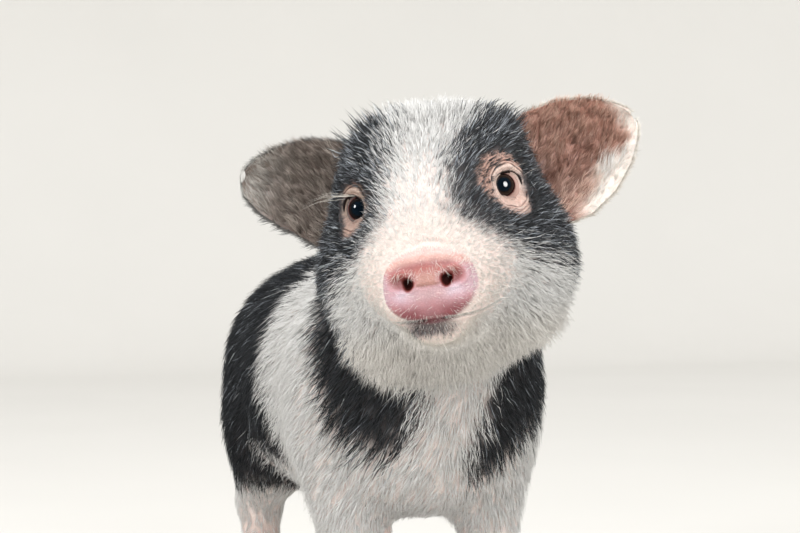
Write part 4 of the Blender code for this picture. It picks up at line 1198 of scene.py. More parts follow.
def coat_lie(points, normals, head, tail):
    """The way the coat lies: away from the snout on the head, back and down on the body, down the tail."""
    own = in_head(points)
    face = unit(own - metres((0, -96, -30)))
    face[:, 0] *= 1 + 1.5 * fade(own[:, 2], -16 * MM, 6 * MM) * fade(own[:, 1], -48 * MM, -30 * MM)
    face[:, 2] -= 0.35 * fade(own[:, 2], 0 * MM, -28 * MM)
    face = out_of_head(unit(face))
    side = np.clip(np.abs(points[:, 0]) / (60 * MM), 0, 1)
    leg = fade(points[:, 2], 110 * MM, 70 * MM)
    body = np.stack([0 * side, 1 - 0.75 * leg, -(0.15 + 0.75 * side + 0.6 * leg)], axis=1)
    down = np.tile(np.array((0, 0.2, -1.0)), (len(points), 1))
    body = unit(body) + (down - unit(body)) * tail[:, None]
    way = unit(body) + (face - unit(body)) * head[:, None]
    way = way + 0.15 * np.stack([swells(points, 26, k) for k in (31, 32, 33)], axis=1)
    return laid_flat(way, normals)


def hair_colour(points, draw):
    """A root and a tip colour for each strand, white or black by the markings at its root."""
    own = in_head(points)
    on_head = fade(past_head_plane(points), -6, 2)
    ragged = 1.4 * fade(own[:, 0], 4 * MM, -6 * MM) * fade(own[:, 2], -18 * MM, -6 * MM)
    loose = 1.8 + on_head * (1.0 + ragged)
    strayed = points + draw.normal(size=points.shape) * (loose * MM)[:, None]
    white = whiteness(strayed, 1.2) > draw.uniform(0.02, 0.98, len(points))
    white &= draw.uniform(0, 1, len(points)) > 0.92 * lip_shade(own)
    cream = 0.55 * fade(own[:, 1], -40 * MM, -64 * MM) + 0.5 * fade(own[:, 2], -46 * MM, -62 * MM)
    pale = blend(WHITE_HAIR, CREAM_HAIR, np.clip(cream, 0, 1) * on_head)
    light = draw.uniform(0.90, 1.05, len(points))[:, None]
    dark = draw.uniform(0.2, 0.85, len(points))[:, None]
    pale_tips = (GRIZZLED[0] + GRIZZLED[1] * on_head) * (1 - 0.8 * near_eye_share(own))
    grizzled = draw.uniform(0, 1, len(points)) < pale_tips
    dark[grizzled] = draw.uniform(2.0, 8.0, (grizzled.sum(), 1))
    white = white[:, None]
    # The black roots, darker than the tips, carry painted shade deep in the coat; grizzled tips are their own
    # pale colour.
    root = np.where(white, pale * light, np.array(BLACK_HAIR) * np.minimum(dark, 2) * 0.6)
    tip = np.where(white, pale * light, np.array(BLACK_HAIR) * dark * 1.8)
    return root, np.clip(tip, 0, 0.97)


def strands(paths, widths, roots, tips, maps, outs):
    """Closed three-sided strands along paths, as arrays: places, triangles, colours and map places."""
    count, rings = paths.shape[0], paths.shape[1] - 1
    ways = np.diff(paths, axis=1)
    ways = np.concatenate([ways[:, :1], (ways[:, 1:] + ways[:, :-1]) / 2], axis=1)
    flat = ways.reshape(-1, 3)
    across = unit(np.cross(flat, np.repeat(outs, rings, axis=0))).reshape(count, rings, 3)
    over = unit(np.cross(across.reshape(-1, 3), flat)).reshape(count, rings, 3)
    turn = 2 * math.pi * np.arange(3) / 3 + math.pi / 2
    ring = across[:, :, None, :] * np.cos(turn)[:, None]
    ring = ring + STRAND_FLAT * over[:, :, None, :] * np.sin(turn)[:, None]
    ring = paths[:, :-1, None, :] + ring * (widths / 2)[:, :, None, None]
    each = 3 * rings + 1
    places = np.concatenate([ring.reshape(count, -1, 3), paths[:, -1:, :]], axis=1)
    faces, at = [(2, 1, 0)], [((0.5, 0.0), (0.2, 0.0), (0.8, 0.03))]
    for k in range(rings):
        for c in range(3):
            a, b = 3 * k + c, 3 * k + (c + 1) % 3
            left, right = c / 3, (c + 1) / 3
            low, high = k / rings, (k + 1) / rings
            if k == rings - 1:
                faces.append((a, b, each - 1))
                at.append(((left, low), (right, low), ((left + right) / 2, high)))
            else:
                faces += [(a, b, b + 3), (a, b + 3, a + 3)]
                at += [((left, low), (right, low), (right, high)), ((left, low), (right, high), (left, high))]
    faces = np.array(faces)
    triangles = (faces[None] + each * np.arange(count)[:, None, None]).reshape(-1, 3)
    corner_maps = maps[:, None, None, :] + TUFT_PATCH * np.array(at)[None]
    along = np.concatenate([np.repeat(np.arange(rings) / rings, 3), [1.0]])[None, :, None]
    colours = roots[:, None, :] * (1 - along) + tips[:, None, :] * along
    return places.reshape(-1, 3), triangles, colours.reshape(-1, 3), corner_maps.reshape(-1, 2)


def joined_mesh(name, places, triangles, colours, maps):
    """One mesh from arrays of many small strands."""
    mesh = bpy.data.meshes.new(name)
    mesh.vertices.add(len(places))
    mesh.loops.add(len(triangles) * 3)
    mesh.polygons.add(len(triangles))
    mesh.vertices.foreach_set("co", places.astype(np.float32).ravel())
    mesh.loops.foreach_set("vertex_index", triangles.astype(np.int32).ravel())
    mesh.polygons.foreach_set("loop_start", np.arange(0, len(triangles) * 3, 3, dtype=np.int32))
    mesh.update(calc_edges=True)
    layer = mesh.uv_layers.new(name="OFBake")
    layer.data.foreach_set("uv", np.clip(maps, 0, 1).astype(np.float32).ravel())
    store(mesh, "tint", colours)
    smooth_shading(mesh)
    obj = bpy.data.objects.new(name, mesh)
    bpy.context.scene.collection.objects.link(obj)
    return obj


def kept_under(places, top):
    """Lowers whatever stands near or over a height, so that the highest tip ends just under it."""
    knee = top - HELD_FROM * MM
    over = np.maximum(places[..., 2] - knee, 0)
    most = max(over.max(), HELD_FROM * MM)
    places[..., 2] -= over * (1 - HELD_FROM * MM / most)
    return places


def curved(roots, way, out, length, rise, bend):
    """Paths that rise along a curve from the root, lie over towards the way and bend to the side a little."""
    middle = roots + way * (length * 0.5)[:, None] + out * (rise * 0.65)[:, None] + bend
    tip = roots + way * length[:, None] + out * rise[:, None]
    return np.stack([roots - out * 0.4 * MM, middle, tip], axis=1)


def comb_coat(surface, draw):
    """Every strand of the coat: its path, widths, root and tip colours, map place and which way is out."""
    middles = surface["places"].mean(axis=1)
    ways = unit(surface["normals"].mean(axis=1))
    _, _, dense, _ = coat_at(middles, ways)
    dense = dense * (surface["ears"] == 0)
    places, normals, maps, _ = spread(surface, dense / TUFT_STRANDS, draw)
    tuft_length, tuft_rise, tuft_dense, tuft_lie = coat_at(places, normals)
    spiky = fade(in_head(places)[:, 2], 12 * MM, 26 * MM) * fade(past_head_plane(places), -16, 0)
    tall = draw.uniform(0, 1, len(places)) < 0.16 * spiky
    tall_rise, rise = draw.uniform(1.2, 1.9, len(places)), draw.uniform(0.6, 1.05, len(places))
    tuft_rise = tuft_rise * np.where(tall, tall_rise, rise)
    tuft_length = tuft_length * draw.uniform(0.8, 1.2, len(places)) * np.where(tall, 1.15, 1)
    tuft_lie = unit(tuft_lie + 0.10 * draw.normal(size=tuft_lie.shape))
    count = len(places) * TUFT_STRANDS
    tuft = np.repeat(np.arange(len(places)), TUFT_STRANDS)
    side = np.cross(tuft_lie, normals)
    reach = 0.85 * np.sqrt(TUFT_STRANDS / np.maximum(tuft_dense, 0.2) / math.pi) * MM
    turn, off = draw.uniform(0, 2 * math.pi, count), np.sqrt(draw.uniform(0, 1, count))
    offset = tuft_lie[tuft] * (np.cos(turn) * off)[:, None] + side[tuft] * (np.sin(turn) * off)[:, None]
    roots = places[tuft] + offset * reach[tuft][:, None]
    normal = unit(slope_at(roots))
    roots = roots - normal * skin_distance(roots)[:, None]
    keep = bare_share(roots) < 0.8
    roots, normal, tuft = roots[keep], normal[keep], tuft[keep]
    count = len(roots)
    lie = laid_flat(tuft_lie[tuft] + 0.13 * draw.normal(size=(count, 3)), normal)
    length = tuft_length[tuft] * draw.uniform(0.65, 1.2, count) * MM
    rise = tuft_rise[tuft] * draw.uniform(0.6, 1.3, count) * MM
    flat = np.sqrt(np.maximum(length**2 - rise**2, (0.3 * length) ** 2))
    bend = np.cross(lie, normal) * (0.06 * length * draw.normal(size=count))[:, None]
    paths = curved(roots, lie, normal, flat, rise, bend)
    paths[:, 2] += (places[tuft] - roots) * 0.6
    for k, share, hold in ((1, 0.6, 1.0), (2, 1.0, 0.85)):
        paths[:, k] += normal * ((share * rise - skin_distance(paths[:, k])) * hold)[:, None]
    width = np.interp(length / MM, (2, 5, 9, 20), STRAND_WIDTHS) * draw.uniform(0.75, 1.25, count) * MM
    width *= 1 + 0.5 * near_eye_share(in_head(roots))
    root_colour, tip_colour = hair_colour(roots, draw)
    # Painted shade at the roots of the pale strands.
    shade = np.interp(length / MM, (3, 10), PAINTED_ROOT_SHADES)[:, None]
    root_colour = np.where(root_colour > 0.4, root_colour * shade, root_colour)
    return paths, np.stack([width * 0.85, width], axis=1), root_colour, tip_colour, maps[tuft], normal


def ear_hair_colour(points, side, draw):
    """Hair inside an ear: tan and brown in patches with a cream rim on one, grey and brown on the other."""
    own = in_head(points)
    patches = 0.5 + 0.5 * swells(points, 9, 23) + 0.12 * draw.normal(size=len(points))
    tan = blend(all_over(TAN_HAIR, len(points)), TAN_DARK_HAIR, fade(patches, 0.60, 0.95) * 0.8)
    tan = blend(tan, TAN_PALE_HAIR, fade(patches, 0.36, 0.05) * 0.7)
    along, across = ear_share(own, 1)
    rows, low = rows_in_ear(along, across)
    tan = blend(blend(tan, TAN_ROW_HAIR, 0.8 * rows), TAN_LOW_HAIR, 0.75 * low)
    tan = blend(tan, EAR_CREAM_HAIR, np.clip(1.25 * pale_in_ear(along, across), 0, 1))
    grey = blend(all_over(GREY_HAIR, len(points)), GREY_PALE_HAIR, fade(patches, 0.5, 0.9))
    along, _ = ear_share(own, -1)
    grey = blend(grey, GREY_TIP_HAIR, 0.85 * fade(along, 0.60, 0.95))
    colour = np.where((side > 0)[:, None], tan, grey)
    return colour * draw.uniform(0.85, 1.12, len(points))[:, None]


# Hair behind the ears and in their hollows: length, width, and strands a square millimetre.
BEHIND_EARS = (6.4, 0.26, 0.6)
IN_EARS = (8.0, 0.20, 1.3)


def comb_ears(surface, draw):
    """Short hair behind the ears, and tufts in rows across their hollows."""
    inside = np.abs(surface["ears"]) == 1
    behind = np.abs(surface["ears"]) == 2
    middles = in_head(surface["places"].mean(axis=1))
    right = surface["ears"] < 0
    along = np.where(right, ear_share(middles, -1)[0], ear_share(middles, 1)[0])
    dense = (BEHIND_EARS[2] * behind + IN_EARS[2] * inside) * fade(along, -0.04, 0.03) / TUFT_STRANDS
    places, normals, maps, ears = spread(surface, dense, draw)
    tuft = np.repeat(np.arange(len(places)), TUFT_STRANDS)
    mirror = ear_mirror(ears)
    own = in_head(places) / MM * mirror
    up = (own - EAR_ROOT) @ EAR_UP / 26
    back = np.abs(ears) == 2
    length_way = unit((EAR_TIP - EAR_ROOT).astype(float)[None])[0]
    rows = swells(places, 18, 25)
    lift = np.where(back, 0.9 * up, 0.75 + 0.5 * up + 0.5 * rows)
    way = length_way + lift[:, None] * EAR_UP + 0.14 * draw.normal(size=(len(places), 3))
    way = out_of_head(unit(way * mirror))
    out = normals[tuft]
    way = laid_flat(way[tuft] + 0.12 * draw.normal(size=(len(tuft), 3)), out)
    side = np.cross(way, out)
    back, count = back[tuft], len(tuft)
    offset = way * draw.normal(size=(count, 1)) + side * draw.normal(size=(count, 1))
    roots = places[tuft] + offset * 0.6 * MM
    length = np.where(back, BEHIND_EARS[0], IN_EARS[0]) * draw.uniform(0.65, 1.3, count) * MM
    length *= 1 - 0.5 * ear_rim_share(in_head(roots), ears[tuft])
    rise = length * np.where(back, 0.2, 0.30) * draw.uniform(0.4, 1.5, count)
    bend = side * (0.08 * length * draw.normal(size=count))[:, None]
    paths = curved(roots, way, out, length, rise, bend)
    paths[:, 2] += (places[tuft] - roots) * 0.4
    width = np.where(back, BEHIND_EARS[1], IN_EARS[1]) * draw.uniform(0.75, 1.25, count) * MM
    shade = draw.uniform(0.5, 1.5, count)[:, None]
    rim = ear_rim_share(in_head(roots), ears[tuft])
    pale_rim = np.clip(1.7 * rim, 0, 1) * (ears[tuft] > 0)
    behind_colour = blend(np.array(BLACK_HAIR) * shade, RIM_HAIR, pale_rim)
    colour = np.where(back[:, None], behind_colour, ear_hair_colour(roots, ears[tuft], draw))
    colour = np.clip(colour, 0, 0.95)
    # Roots darker than the tips, most on the darker hair: painted shade among the dense strands.
    dim = np.where(back[:, None], 0.8, 0.62 + 0.38 * fade(colour[:, 1:2], 0.35, 0.6))
    tips = np.clip(colour * 1.15, 0, 0.95)
    return paths, np.stack([width * 0.85, width], axis=1), colour * dim, tips, maps[tuft], out


def maps_near(surface, roots):
    """Where on the unwrap the skin nearest to each root lies."""
    middles = surface["places"].mean(axis=1)
    close = np.flatnonzero(in_head(middles)[:, 1] < 75 * MM)
    tree = KDTree(len(close))
    for k, place in enumerate(middles[close]):
        tree.insert(place, k)
    tree.balance()
    nearest = close[[tree.find(root)[1] for root in roots]]
    return surface["maps"][nearest, 0]


FRINGE_HAIRS = 2400
FRINGE_LENGTHS = (2.0, 4.8)
FRINGE_WIDTHS = (0.15, 0.25)
DARK_EAR_TUFT = 5.0


def comb_rims(surface, draw):
    """A fringe of hair along the rims of both ears, with a tuft at the tip of the dark one."""
    chains, widths, colours, outs = [], [], [], []
    for side, _ in SIDES:
        count = FRINGE_HAIRS
        place = draw.uniform(0, 1, count)
        upper = place < 0.5
        along = 0.06 + 0.94 * np.where(upper, place * 2, (place - 0.5) * 2) ** 0.75
        across = np.where(upper, 1.0, -1.0) * draw.uniform(0.93, 1.0, count)
        root = ear_middle(along, across, side)
        inner = ear_middle(along - 0.06, across * 0.75, side)
        onward = unit(ear_middle(np.minimum(along + 0.1, 1.1), across, side) - root)
        way = unit(unit(root - inner) + 0.5 * onward + 0.2 * draw.normal(size=(count, 3)))
        at_tip = fade(along, 0.9, 0.99) * (side < 0)
        length = draw.uniform(*FRINGE_LENGTHS, count) + DARK_EAR_TUFT * at_tip
        out = ear_out(along, across, side)
        chains.append(curved(root * MM, way, out, length * MM, 0.12 * length * MM, 0))
        widths.append(draw.uniform(*FRINGE_WIDTHS, count) * MM)
        if side > 0:
            colour = blend(all_over(FRINGE_CREAM, count), FRINGE_BLACK, 0.9 * upper * fade(along, 0.5, 0.25))
        else:
            colour = blend(all_over(FRINGE_GREY, count), FRINGE_TIP, np.clip(at_tip + 0.15, 0, 1))
        colours.append(colour * draw.uniform(0.7, 1.12, count)[:, None])
        outs.append(out)
    paths = turned(np.concatenate(chains).reshape(-1, 3), HEAD).reshape(-1, 3, 3)
    width = np.concatenate(widths)
    colour = np.clip(np.concatenate(colours), 0, 0.95)
    outs = out_of_head(np.concatenate(outs))
    maps = maps_near(surface, paths[:, 0])
    # The roots a little darker than the tips: painted shade at the rim.
    return paths, np.stack([width, width * 0.9], axis=1), colour * 0.85, colour, maps, outs


# The lashes of each eye: how many, between which turns, how long, which way, how wide and in what colour.
SHORT_LASHES = (30, (15, 150), (2.4, 4.0), (0.6, 0.6, 0.9), 0.14, (0.03, 0.028, 0.03))
LONG_LASHES = {
    1: (4, (20, 80), (8, 13), (0.9, 0.25, 0.7), 0.16, (0.5, 0.46, 0.42)),
    -1: (6, (35, 120), (17, 27), (1.0, -0.16, 0.55), 0.20, (0.88, 0.84, 0.76)),
}
LONG_FROM = 10


def comb_lashes(surface, draw):
    """Dark lashes on the upper lids, and a few long pale ones that sweep out from the right eye."""
    paths, widths, colours, outs = [], [], [], []
    for side, _ in SIDES:
        place = HEAD @ gaze_frame(side)
        for count, turns, lengths, way, wide, colour in (SHORT_LASHES, LONG_LASHES[side]):
            stiff = lengths[1] < LONG_FROM
            turn = np.radians(draw.uniform(*turns, count))
            off = margin_at(turn, side) + 0.35
            depth = np.sqrt((EYE_RADIUS + 1.3) ** 2 - off**2)
            root = np.stack([off * np.cos(turn), off * np.sin(turn), depth], axis=1)
            ways = np.array(way) + np.stack([0.5 * np.cos(turn), 0 * turn, 0 * turn], axis=1) * stiff
            ways = unit(ways + (0.12 if stiff else 0.22) * draw.normal(size=(count, 3)))
            length = draw.uniform(*lengths, count)[:, None]
            curl = np.array((0, 0.16, 0)) if stiff else np.array((-0.02, -0.16, -0.05))
            middle = root + ways * length * 0.5 - curl * length * 0.5
            chain = np.stack([root, middle, root + ways * length], axis=1)
            chain = (chain * (side, 1, 1) * MM).reshape(-1, 3)
            paths.append(turned(chain, place).reshape(count, 3, 3))
            widths.append(np.full(count, wide * MM))
            colours.append(all_over(colour, count))
            outs.append(all_over(place.to_3x3() @ Vector((0.3, 0.9, 0.2)), count))
    paths, width, colour = np.concatenate(paths), np.concatenate(widths), np.concatenate(colours)
    widths = np.stack([width, width * 0.85], axis=1)
    return paths, widths, colour, colour, maps_near(surface, paths[:, 0]), np.concatenate(outs)


def rim_share(own):
    """How far out points of the disc lie, as a share of its outline."""
    x, z, _ = disc_place(own)
    return np.hypot(x / DISC_RADII[0], z / DISC_RADII[1])


# Down on the disc and bristles on the muzzle: lengths, and width.
DOWN = ((1.4, 3.2), 0.10)
BRISTLES = ((6, 13), 0.15)
BRISTLES_PER_MM2 = 0.022


def comb_snout(surface, draw):
    """Fine pale down on the disc and round the nostrils, and bristles on the muzzle and the lips."""
    own = in_head(surface["places"].mean(axis=1))
    x, z, ahead = disc_place(own)
    on_disc = (ahead > -7) & (surface["ears"] == 0) & (own[:, 1] < -60 * MM)
    rim = fade(rim_share(own), 0.72, 0.95)
    nostrils = bump(nearer_side(hollow_place, x, z), 1.0, 0.5)
    hole = nearer_side(nostril_place, x, z)
    dense = 0.06 + 0.5 * rim + 0.5 * nostrils * fade(z, 0.5, 2.5) + 0.5 * bump(z, 5.5, 2.5)
    dense *= on_disc * fade(hole, 1.1, 1.5)
    down = spread(surface, dense, draw)
    muzzle = (own[:, 1] < -30 * MM) & (own[:, 1] > -66 * MM) & (own[:, 2] < -30 * MM) & (surface["ears"] == 0)
    bristle = spread(surface, BRISTLES_PER_MM2 * muzzle, draw)
    count = len(down[0]) + len(bristle[0])
    roots, out = np.concatenate([down[0], bristle[0]]), np.concatenate([down[1], bristle[1]])
    fine = np.arange(count) < len(down[0])
    away = unit(in_head(roots) - metres((0, -84, -41)))
    over = fine * fade(disc_place(in_head(roots))[1], 1.5, 3.5) * (rim_share(in_head(roots)) < 0.8)
    away = out_of_head(blend(away, unit(away * (0.6, 0, 0) + (0, 0, -1)), over))
    way = laid_flat(away + 0.35 * draw.normal(size=(count, 3)), out)
    down_length = draw.uniform(*DOWN[0], count) * (1 + 0.5 * over)
    length = np.where(fine, down_length, draw.uniform(*BRISTLES[0], count)) * MM
    rise = length * np.where(fine, draw.uniform(0.2, 0.6, count), 0.55)
    bend = np.cross(way, out) * (0.1 * length * draw.normal(size=count))[:, None]
    paths = curved(roots, way, out, length, rise, bend)
    width = np.where(fine, DOWN[1], BRISTLES[1]) * MM
    colour = all_over(DOWN_HAIR, count)
    maps = np.concatenate([down[2], bristle[2]])
    return paths, np.stack([width, width * 0.9], axis=1), colour, colour, maps, out


def grow_coat(surface, shift, low, high):
    """All the coat's pieces, each under the count that a piece may hold; short hair is straight."""
    draw = np.random.default_rng(20)
    made = []
    combs = (
        ("coat", comb_coat),
        ("ear_hair", comb_ears),
        ("ear_rims", comb_rims),
        ("lashes", comb_lashes),
        ("snout_down", comb_snout),
    )
    for name, comb in combs:
        combed = comb(surface, draw)
        if name == "coat":
            kept_under(combed[0], high[2] - shift[2] - 0.4 * MM)
        length = np.linalg.norm(combed[0][:, -1] - combed[0][:, 0], axis=1)
        short = (length < STRAIGHT_UNDER * MM) & (name in ("coat", "ear_hair"))
        for word, chosen, most in (("short", short, STRAIGHT_STRANDS), ("long", ~short, CURVED_STRANDS)):
            picked = np.flatnonzero(chosen)
            picked = picked[np.argsort(-past_head_plane(combed[0][picked, 0]), kind="stable")]
            for k, start in enumerate(range(0, len(picked), most)):
                part = picked[start : start + most]
                paths, widths, *rest = (values[part] for values in combed)
                if word == "short":
                    paths, widths = paths[:, (0, 2)], widths[:, 1:]
                places, triangles, colours, at = strands(paths, widths, *rest)
                places = np.clip(places + shift, np.array(low) + 0.2 * MM, np.array(high) - 0.2 * MM)
                made.append(joined_mesh(f"{name}_{word}_{k + 1}", places, triangles, colours, at))
    return made


# ---- eyes and lids ----
def make_eyeball(side, word):
    """The ball of an eye, a little fuller in front where the cornea is."""
    bm = bmesh.new()
    bmesh.ops.create_uvsphere(bm, u_segments=64, v_segments=40, radius=EYE_RADIUS * MM)
    frame_of = HEAD @ gaze_frame(side)
    look = look_way(side)
    centre = HEAD @ (Vector((EYE_CENTRE[0] * side, *EYE_CENTRE[1:])) * MM)
    for v in bm.verts:
        way = (frame_of.to_3x3() @ v.co).normalized()
        swell = 0.35 * max(0.0, 1 - way.angle(look) / math.radians(42)) ** 0.8
        v.co = centre + way * (EYE_RADIUS + swell - 0.15) * MM
    bmesh.ops.recalc_face_normals(bm, faces=bm.faces)
    obj = object_from("eyeball_" + word, bm)
    smooth_shading(obj.data)
    return obj


LOOKS = {1: (0.261, -0.947, 0.195), -1: (-0.246, -0.967, 0.078)}


def look_way(side):
    """Where an eye looks, in the model's frame: between straight out of its socket and towards the viewer."""
    way = Vector(LOOKS[side])
    return (HEAD.to_3x3() @ way).normalized()


LID_RINGS = (
    (-0.9, -0.6), (-0.35, 0.05), (0.0, 0.40), (0.25, 0.95), (0.7, 1.45), (1.3, 1.70), (1.9, 1.62),
    (2.4, 1.25), (3.0, 1.00), (3.8, 0.80), (4.8, 0.40),
)


def make_lids(side, word):
    """The lids of an eye: rings from under their edge, over its thick rim and down under the first fold."""
    bm = bmesh.new()
    count = 96
    rings = []
    turns = 2 * math.pi * np.arange(count) / count
    margin = margin_at(turns, side)
    upper = fade(np.sin(turns), -0.2, 0.5)
    inner = fade(np.cos(turns), -0.6, -0.95)
    for off, rise in LID_RINGS:
        wide = margin + off * (lid_share(margin) if off > 0 else 1)
        uneven = 0.10 * np.sin(turns * 9 + off * 2) * fade(off, 0.3, 1.5)
        radius = EYE_RADIUS + rise * (0.72 + 0.38 * upper) * (1 - 0.45 * inner * (rise > 0)) + uneven
        depth = np.sqrt(np.maximum(radius**2 - wide**2, 0.3))
        places = np.stack([side * wide * np.cos(turns), wide * np.sin(turns), depth], axis=1)
        rings.append([bm.verts.new(Vector(place) * MM) for place in places])
    for one, other in zip(rings, rings[1:]):
        for k in range(count):
            j = (k + 1) % count
            bm.faces.new((one[k], one[j], other[j], other[k]))
    bmesh.ops.transform(bm, matrix=HEAD @ gaze_frame(side), verts=bm.verts)
    obj = object_from("lids_" + word, bm)
    mesh = obj.data
    middle = turned(metres(EYE_CENTRE)[None] * (side, 1, 1), HEAD)
    if ((places_of(mesh) - middle) * normals_of(mesh)).sum() < 0:
        mesh.flip_normals()
    smooth_shading(mesh)
    own = in_head(places_of(mesh))
    radius, around, _ = eye_place(own, side)
    edge = (radius - margin_at(around, side)) / lid_share(margin_at(around, side))
    k = (1, -1).index(side)
    lower = fade(np.sin(around), 0.0, -0.5)
    # The right eye's lid colours are darker copies: painted shade.
    colour = blend(all_over(LID_SKINS_LIT_AND_SHADED[k], len(own)), LID_PINKS_LIT_AND_SHADED[k], lower)
    colour *= (1 + 0.10 * swells(own, 3, 47) + 0.10 * swells(own, 1.3, 49))[:, None]
    outer = fade(np.cos(around), 0.66, 0.86) if side > 0 else fade(np.cos(around), 0.45, 0.72)
    colour = blend(colour, DARK_SKIN, outer * fade(edge, 0.2, 0.7))
    # Painted shade in fine lines on the lower lid and under the lid's first fold.
    fine = lower * (0.5 + 0.5 * swells(own, 5, 51))
    colour = blend(colour, LID_CREASE_PAINTED_SHADE, 0.6 * fine * (bump(edge, 0.95, 0.16) + bump(edge, 1.7, 0.2)))
    colour = blend(colour, LID_CREASE_PAINTED_SHADE, 0.8 * bump(edge, 2.5, 0.4))
    upper_line = fade(edge, 1.15 - 0.4 * lower, 0.35 - 0.2 * lower)
    colour = blend(colour, LASH_LINE, (1 - 0.7 * lower) * upper_line)
    # Painted shade in the eye's inner corner.
    corner = fade(np.hypot(np.cos(around) + 0.93, np.sin(around) + 0.36), 0.30, 0.12)
    colour = blend(colour, EYE_CORNER_PAINTED_SHADE, 0.9 * corner * fade(edge, 3.0, 1.5))
    store(mesh, "tint", np.clip(colour, 0, 1))
    return obj


# ---- feet ----
def coronet(foot, up=0.0):
    """A point on the slanting plane where a foot's skin meets its claws, and the way up from it."""
    _, y, _ = foot[-1][0]
    front = Vector((0, y + CORONET_FRONT[0], CORONET_FRONT[1] + up))
    back = Vector((0, y + CORONET_BACK[0], CORONET_BACK[1] + up))
    return (front + back) / 2 * MM, (back - front).cross(Vector((-1, 0, 0))).normalized()


CLAW_OUTLINES = (
    (0.0, 0.97, 0.95, 0.96),
    (0.5, 1.0, 1.0, 1.0),
    (2.2, 1.0, 1.06, 1.03),
    (5.0, 0.93, 1.06, 1.03),
    (9.0, 0.79, 1.06, 1.01),
    (13.0, 0.66, 1.05, 0.98),
    (20.0, 0.44, 1.05, 0.93),
)


def make_claw(foot, side, inner, name):
    """One claw: a worn rounded edge at the sole, a sloping wall, and a slanting top at the coronet."""
    x_middle, y_end, _ = foot[-1][0]
    outward = -side if inner else side
    bm = bmesh.new()
    steps = 36
    rings = []
    for height, toe, heel, wide in CLAW_OUTLINES:
        ring = []
        for k in range(steps + 1):
            turn = math.pi * k / steps
            y = -math.cos(turn)
            y = y * CLAW_TOE * toe if y < 0 else y * CLAW_HEEL * heel
            x = CLAW_CLEFT + CLAW_WIDTH * wide * math.sin(turn) ** CLAW_ROUND
            ring.append(bm.verts.new(Vector((side * x_middle + outward * x, y_end + y, height)) * MM))
        rings.append([bm.edges.new((a, b)) for a, b in zip(ring, ring[1:] + ring[:1])])
    for one, other in zip(rings, rings[1:]):
        bmesh.ops.bridge_loops(bm, edges=one + other)
    point, slope = coronet(foot, -0.3)
    geometry = bm.verts[:] + bm.edges[:] + bm.faces[:]
    bmesh.ops.bisect_plane(bm, geom=geometry, plane_co=point, plane_no=slope, clear_outer=True)
    bmesh.ops.holes_fill(bm, edges=[e for e in bm.edges if e.is_boundary])
    bmesh.ops.recalc_face_normals(bm, faces=bm.faces)
    obj = object_from(name, bm)
    edges = obj.modifiers.new("edges", "BEVEL")
    edges.width = 0.5 * MM
    edges.segments = 2
    edges.limit_method = "ANGLE"
    edges.angle_limit = math.radians(50)
    apply_modifiers(obj)
    smooth_shading(obj.data)
    return obj


def make_dew_claw(foot, side, inner, name):
    """A small blunt horn behind the foot, with a rounded tip."""
    x_middle, y_end, _ = foot[-1][0]
    apart, behind, height = DEW_CLAW_AT
    x = side * x_middle + (-side if inner else side) * apart
    bm = bmesh.new()
    bmesh.ops.create_cone(
        bm,
        cap_ends=True,
        segments=28,
        radius1=DEW_CLAW_RADIUS * MM,
        radius2=DEW_CLAW_RADIUS * DEW_CLAW_TIP * MM,
        depth=DEW_CLAW_LENGTH * MM,
    )
    ends = [e for e in bm.edges if all(v.co.z > 0 for v in e.verts)]
    bmesh.ops.bevel(
        bm,
        geom=ends,
        offset=1.2 * MM,
        offset_type="OFFSET",
        affect="EDGES",
        segments=4,
        profile=0.5,
        material=-1,
    )
    place = Matrix.Translation(Vector((x, y_end + behind, height)) * MM)
    bmesh.ops.transform(bm, matrix=place @ Matrix.Rotation(DEW_CLAW_LEAN, 4, "X"), verts=bm.verts)
    obj = object_from(name, bm)
    smooth_shading(obj.data)
    return obj


def make_feet():
    """All the claws and small claws, each in the place of its solid."""
    made = []
    for legs, foot in (("front", FRONT_LEG), ("hind", HIND_LEG)):
        for side, word in SIDES:
            for inner, place in zip((True, False), CORNERS):
                end = f"{legs}_{word}_{place}"
                claw = make_claw(foot, side, inner, "claw_" + end)
                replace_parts(claw, "hoof_" + end)
                small = make_dew_claw(foot, side, inner, "small_claw_" + end)
                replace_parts(small, "dewclaw_" + end)
                made += [claw, small]
    return made


# ---- shaders ----
def feed(tree, made, inputs):
    """Joins a node's inputs to other nodes' outputs, or gives them values."""
    for name, value in dict(inputs).items():
        if isinstance(value, bpy.types.NodeSocket):
            tree.links.new(value, made.inputs[name])
        else:
            made.inputs[name].default_value = value


def node(tree, kind, inputs=(), **settings):
    """A new shader node, with its settings and its inputs."""
    made = tree.nodes.new(kind)
    for name, value in settings.items():
        setattr(made, name, value)
    feed(tree, made, inputs)
    return made


def object_place(tree):
    """Where a piece is shaded, in its own frame."""
    return node(tree, "ShaderNodeTexCoord").outputs["Object"]


def noise_at(tree, place, **inputs):
    """A soft noise there, from 0 to 1."""
    return node(tree, "ShaderNodeTexNoise", {"Vector": place, **inputs}).outputs["Fac"]


def mapped(tree, value, from_ends, to_ends):
    """A value, moved from one range to another."""
    names = ("From Min", "From Max", "To Min", "To Max")
    inputs = {"Value": value, **dict(zip(names, (*from_ends, *to_ends)))}
    return node(tree, "ShaderNodeMapRange", inputs).outputs["Result"]


def maths(tree, operation, *terms, kind="ShaderNodeMath"):
    """The node that works out one step with numbers or, as the other kind, with places."""
    return node(tree, kind, enumerate(terms), operation=operation)


def shaded(tree, colour, amount, shade):
    """A colour multiplied by a shade, as much as the amount says."""
    inputs = {"Factor": amount, "A": colour, "B": (*shade, 1)}
    return node(tree, "ShaderNodeMix", inputs, data_type="RGBA", blend_type="MULTIPLY").outputs["Result"]


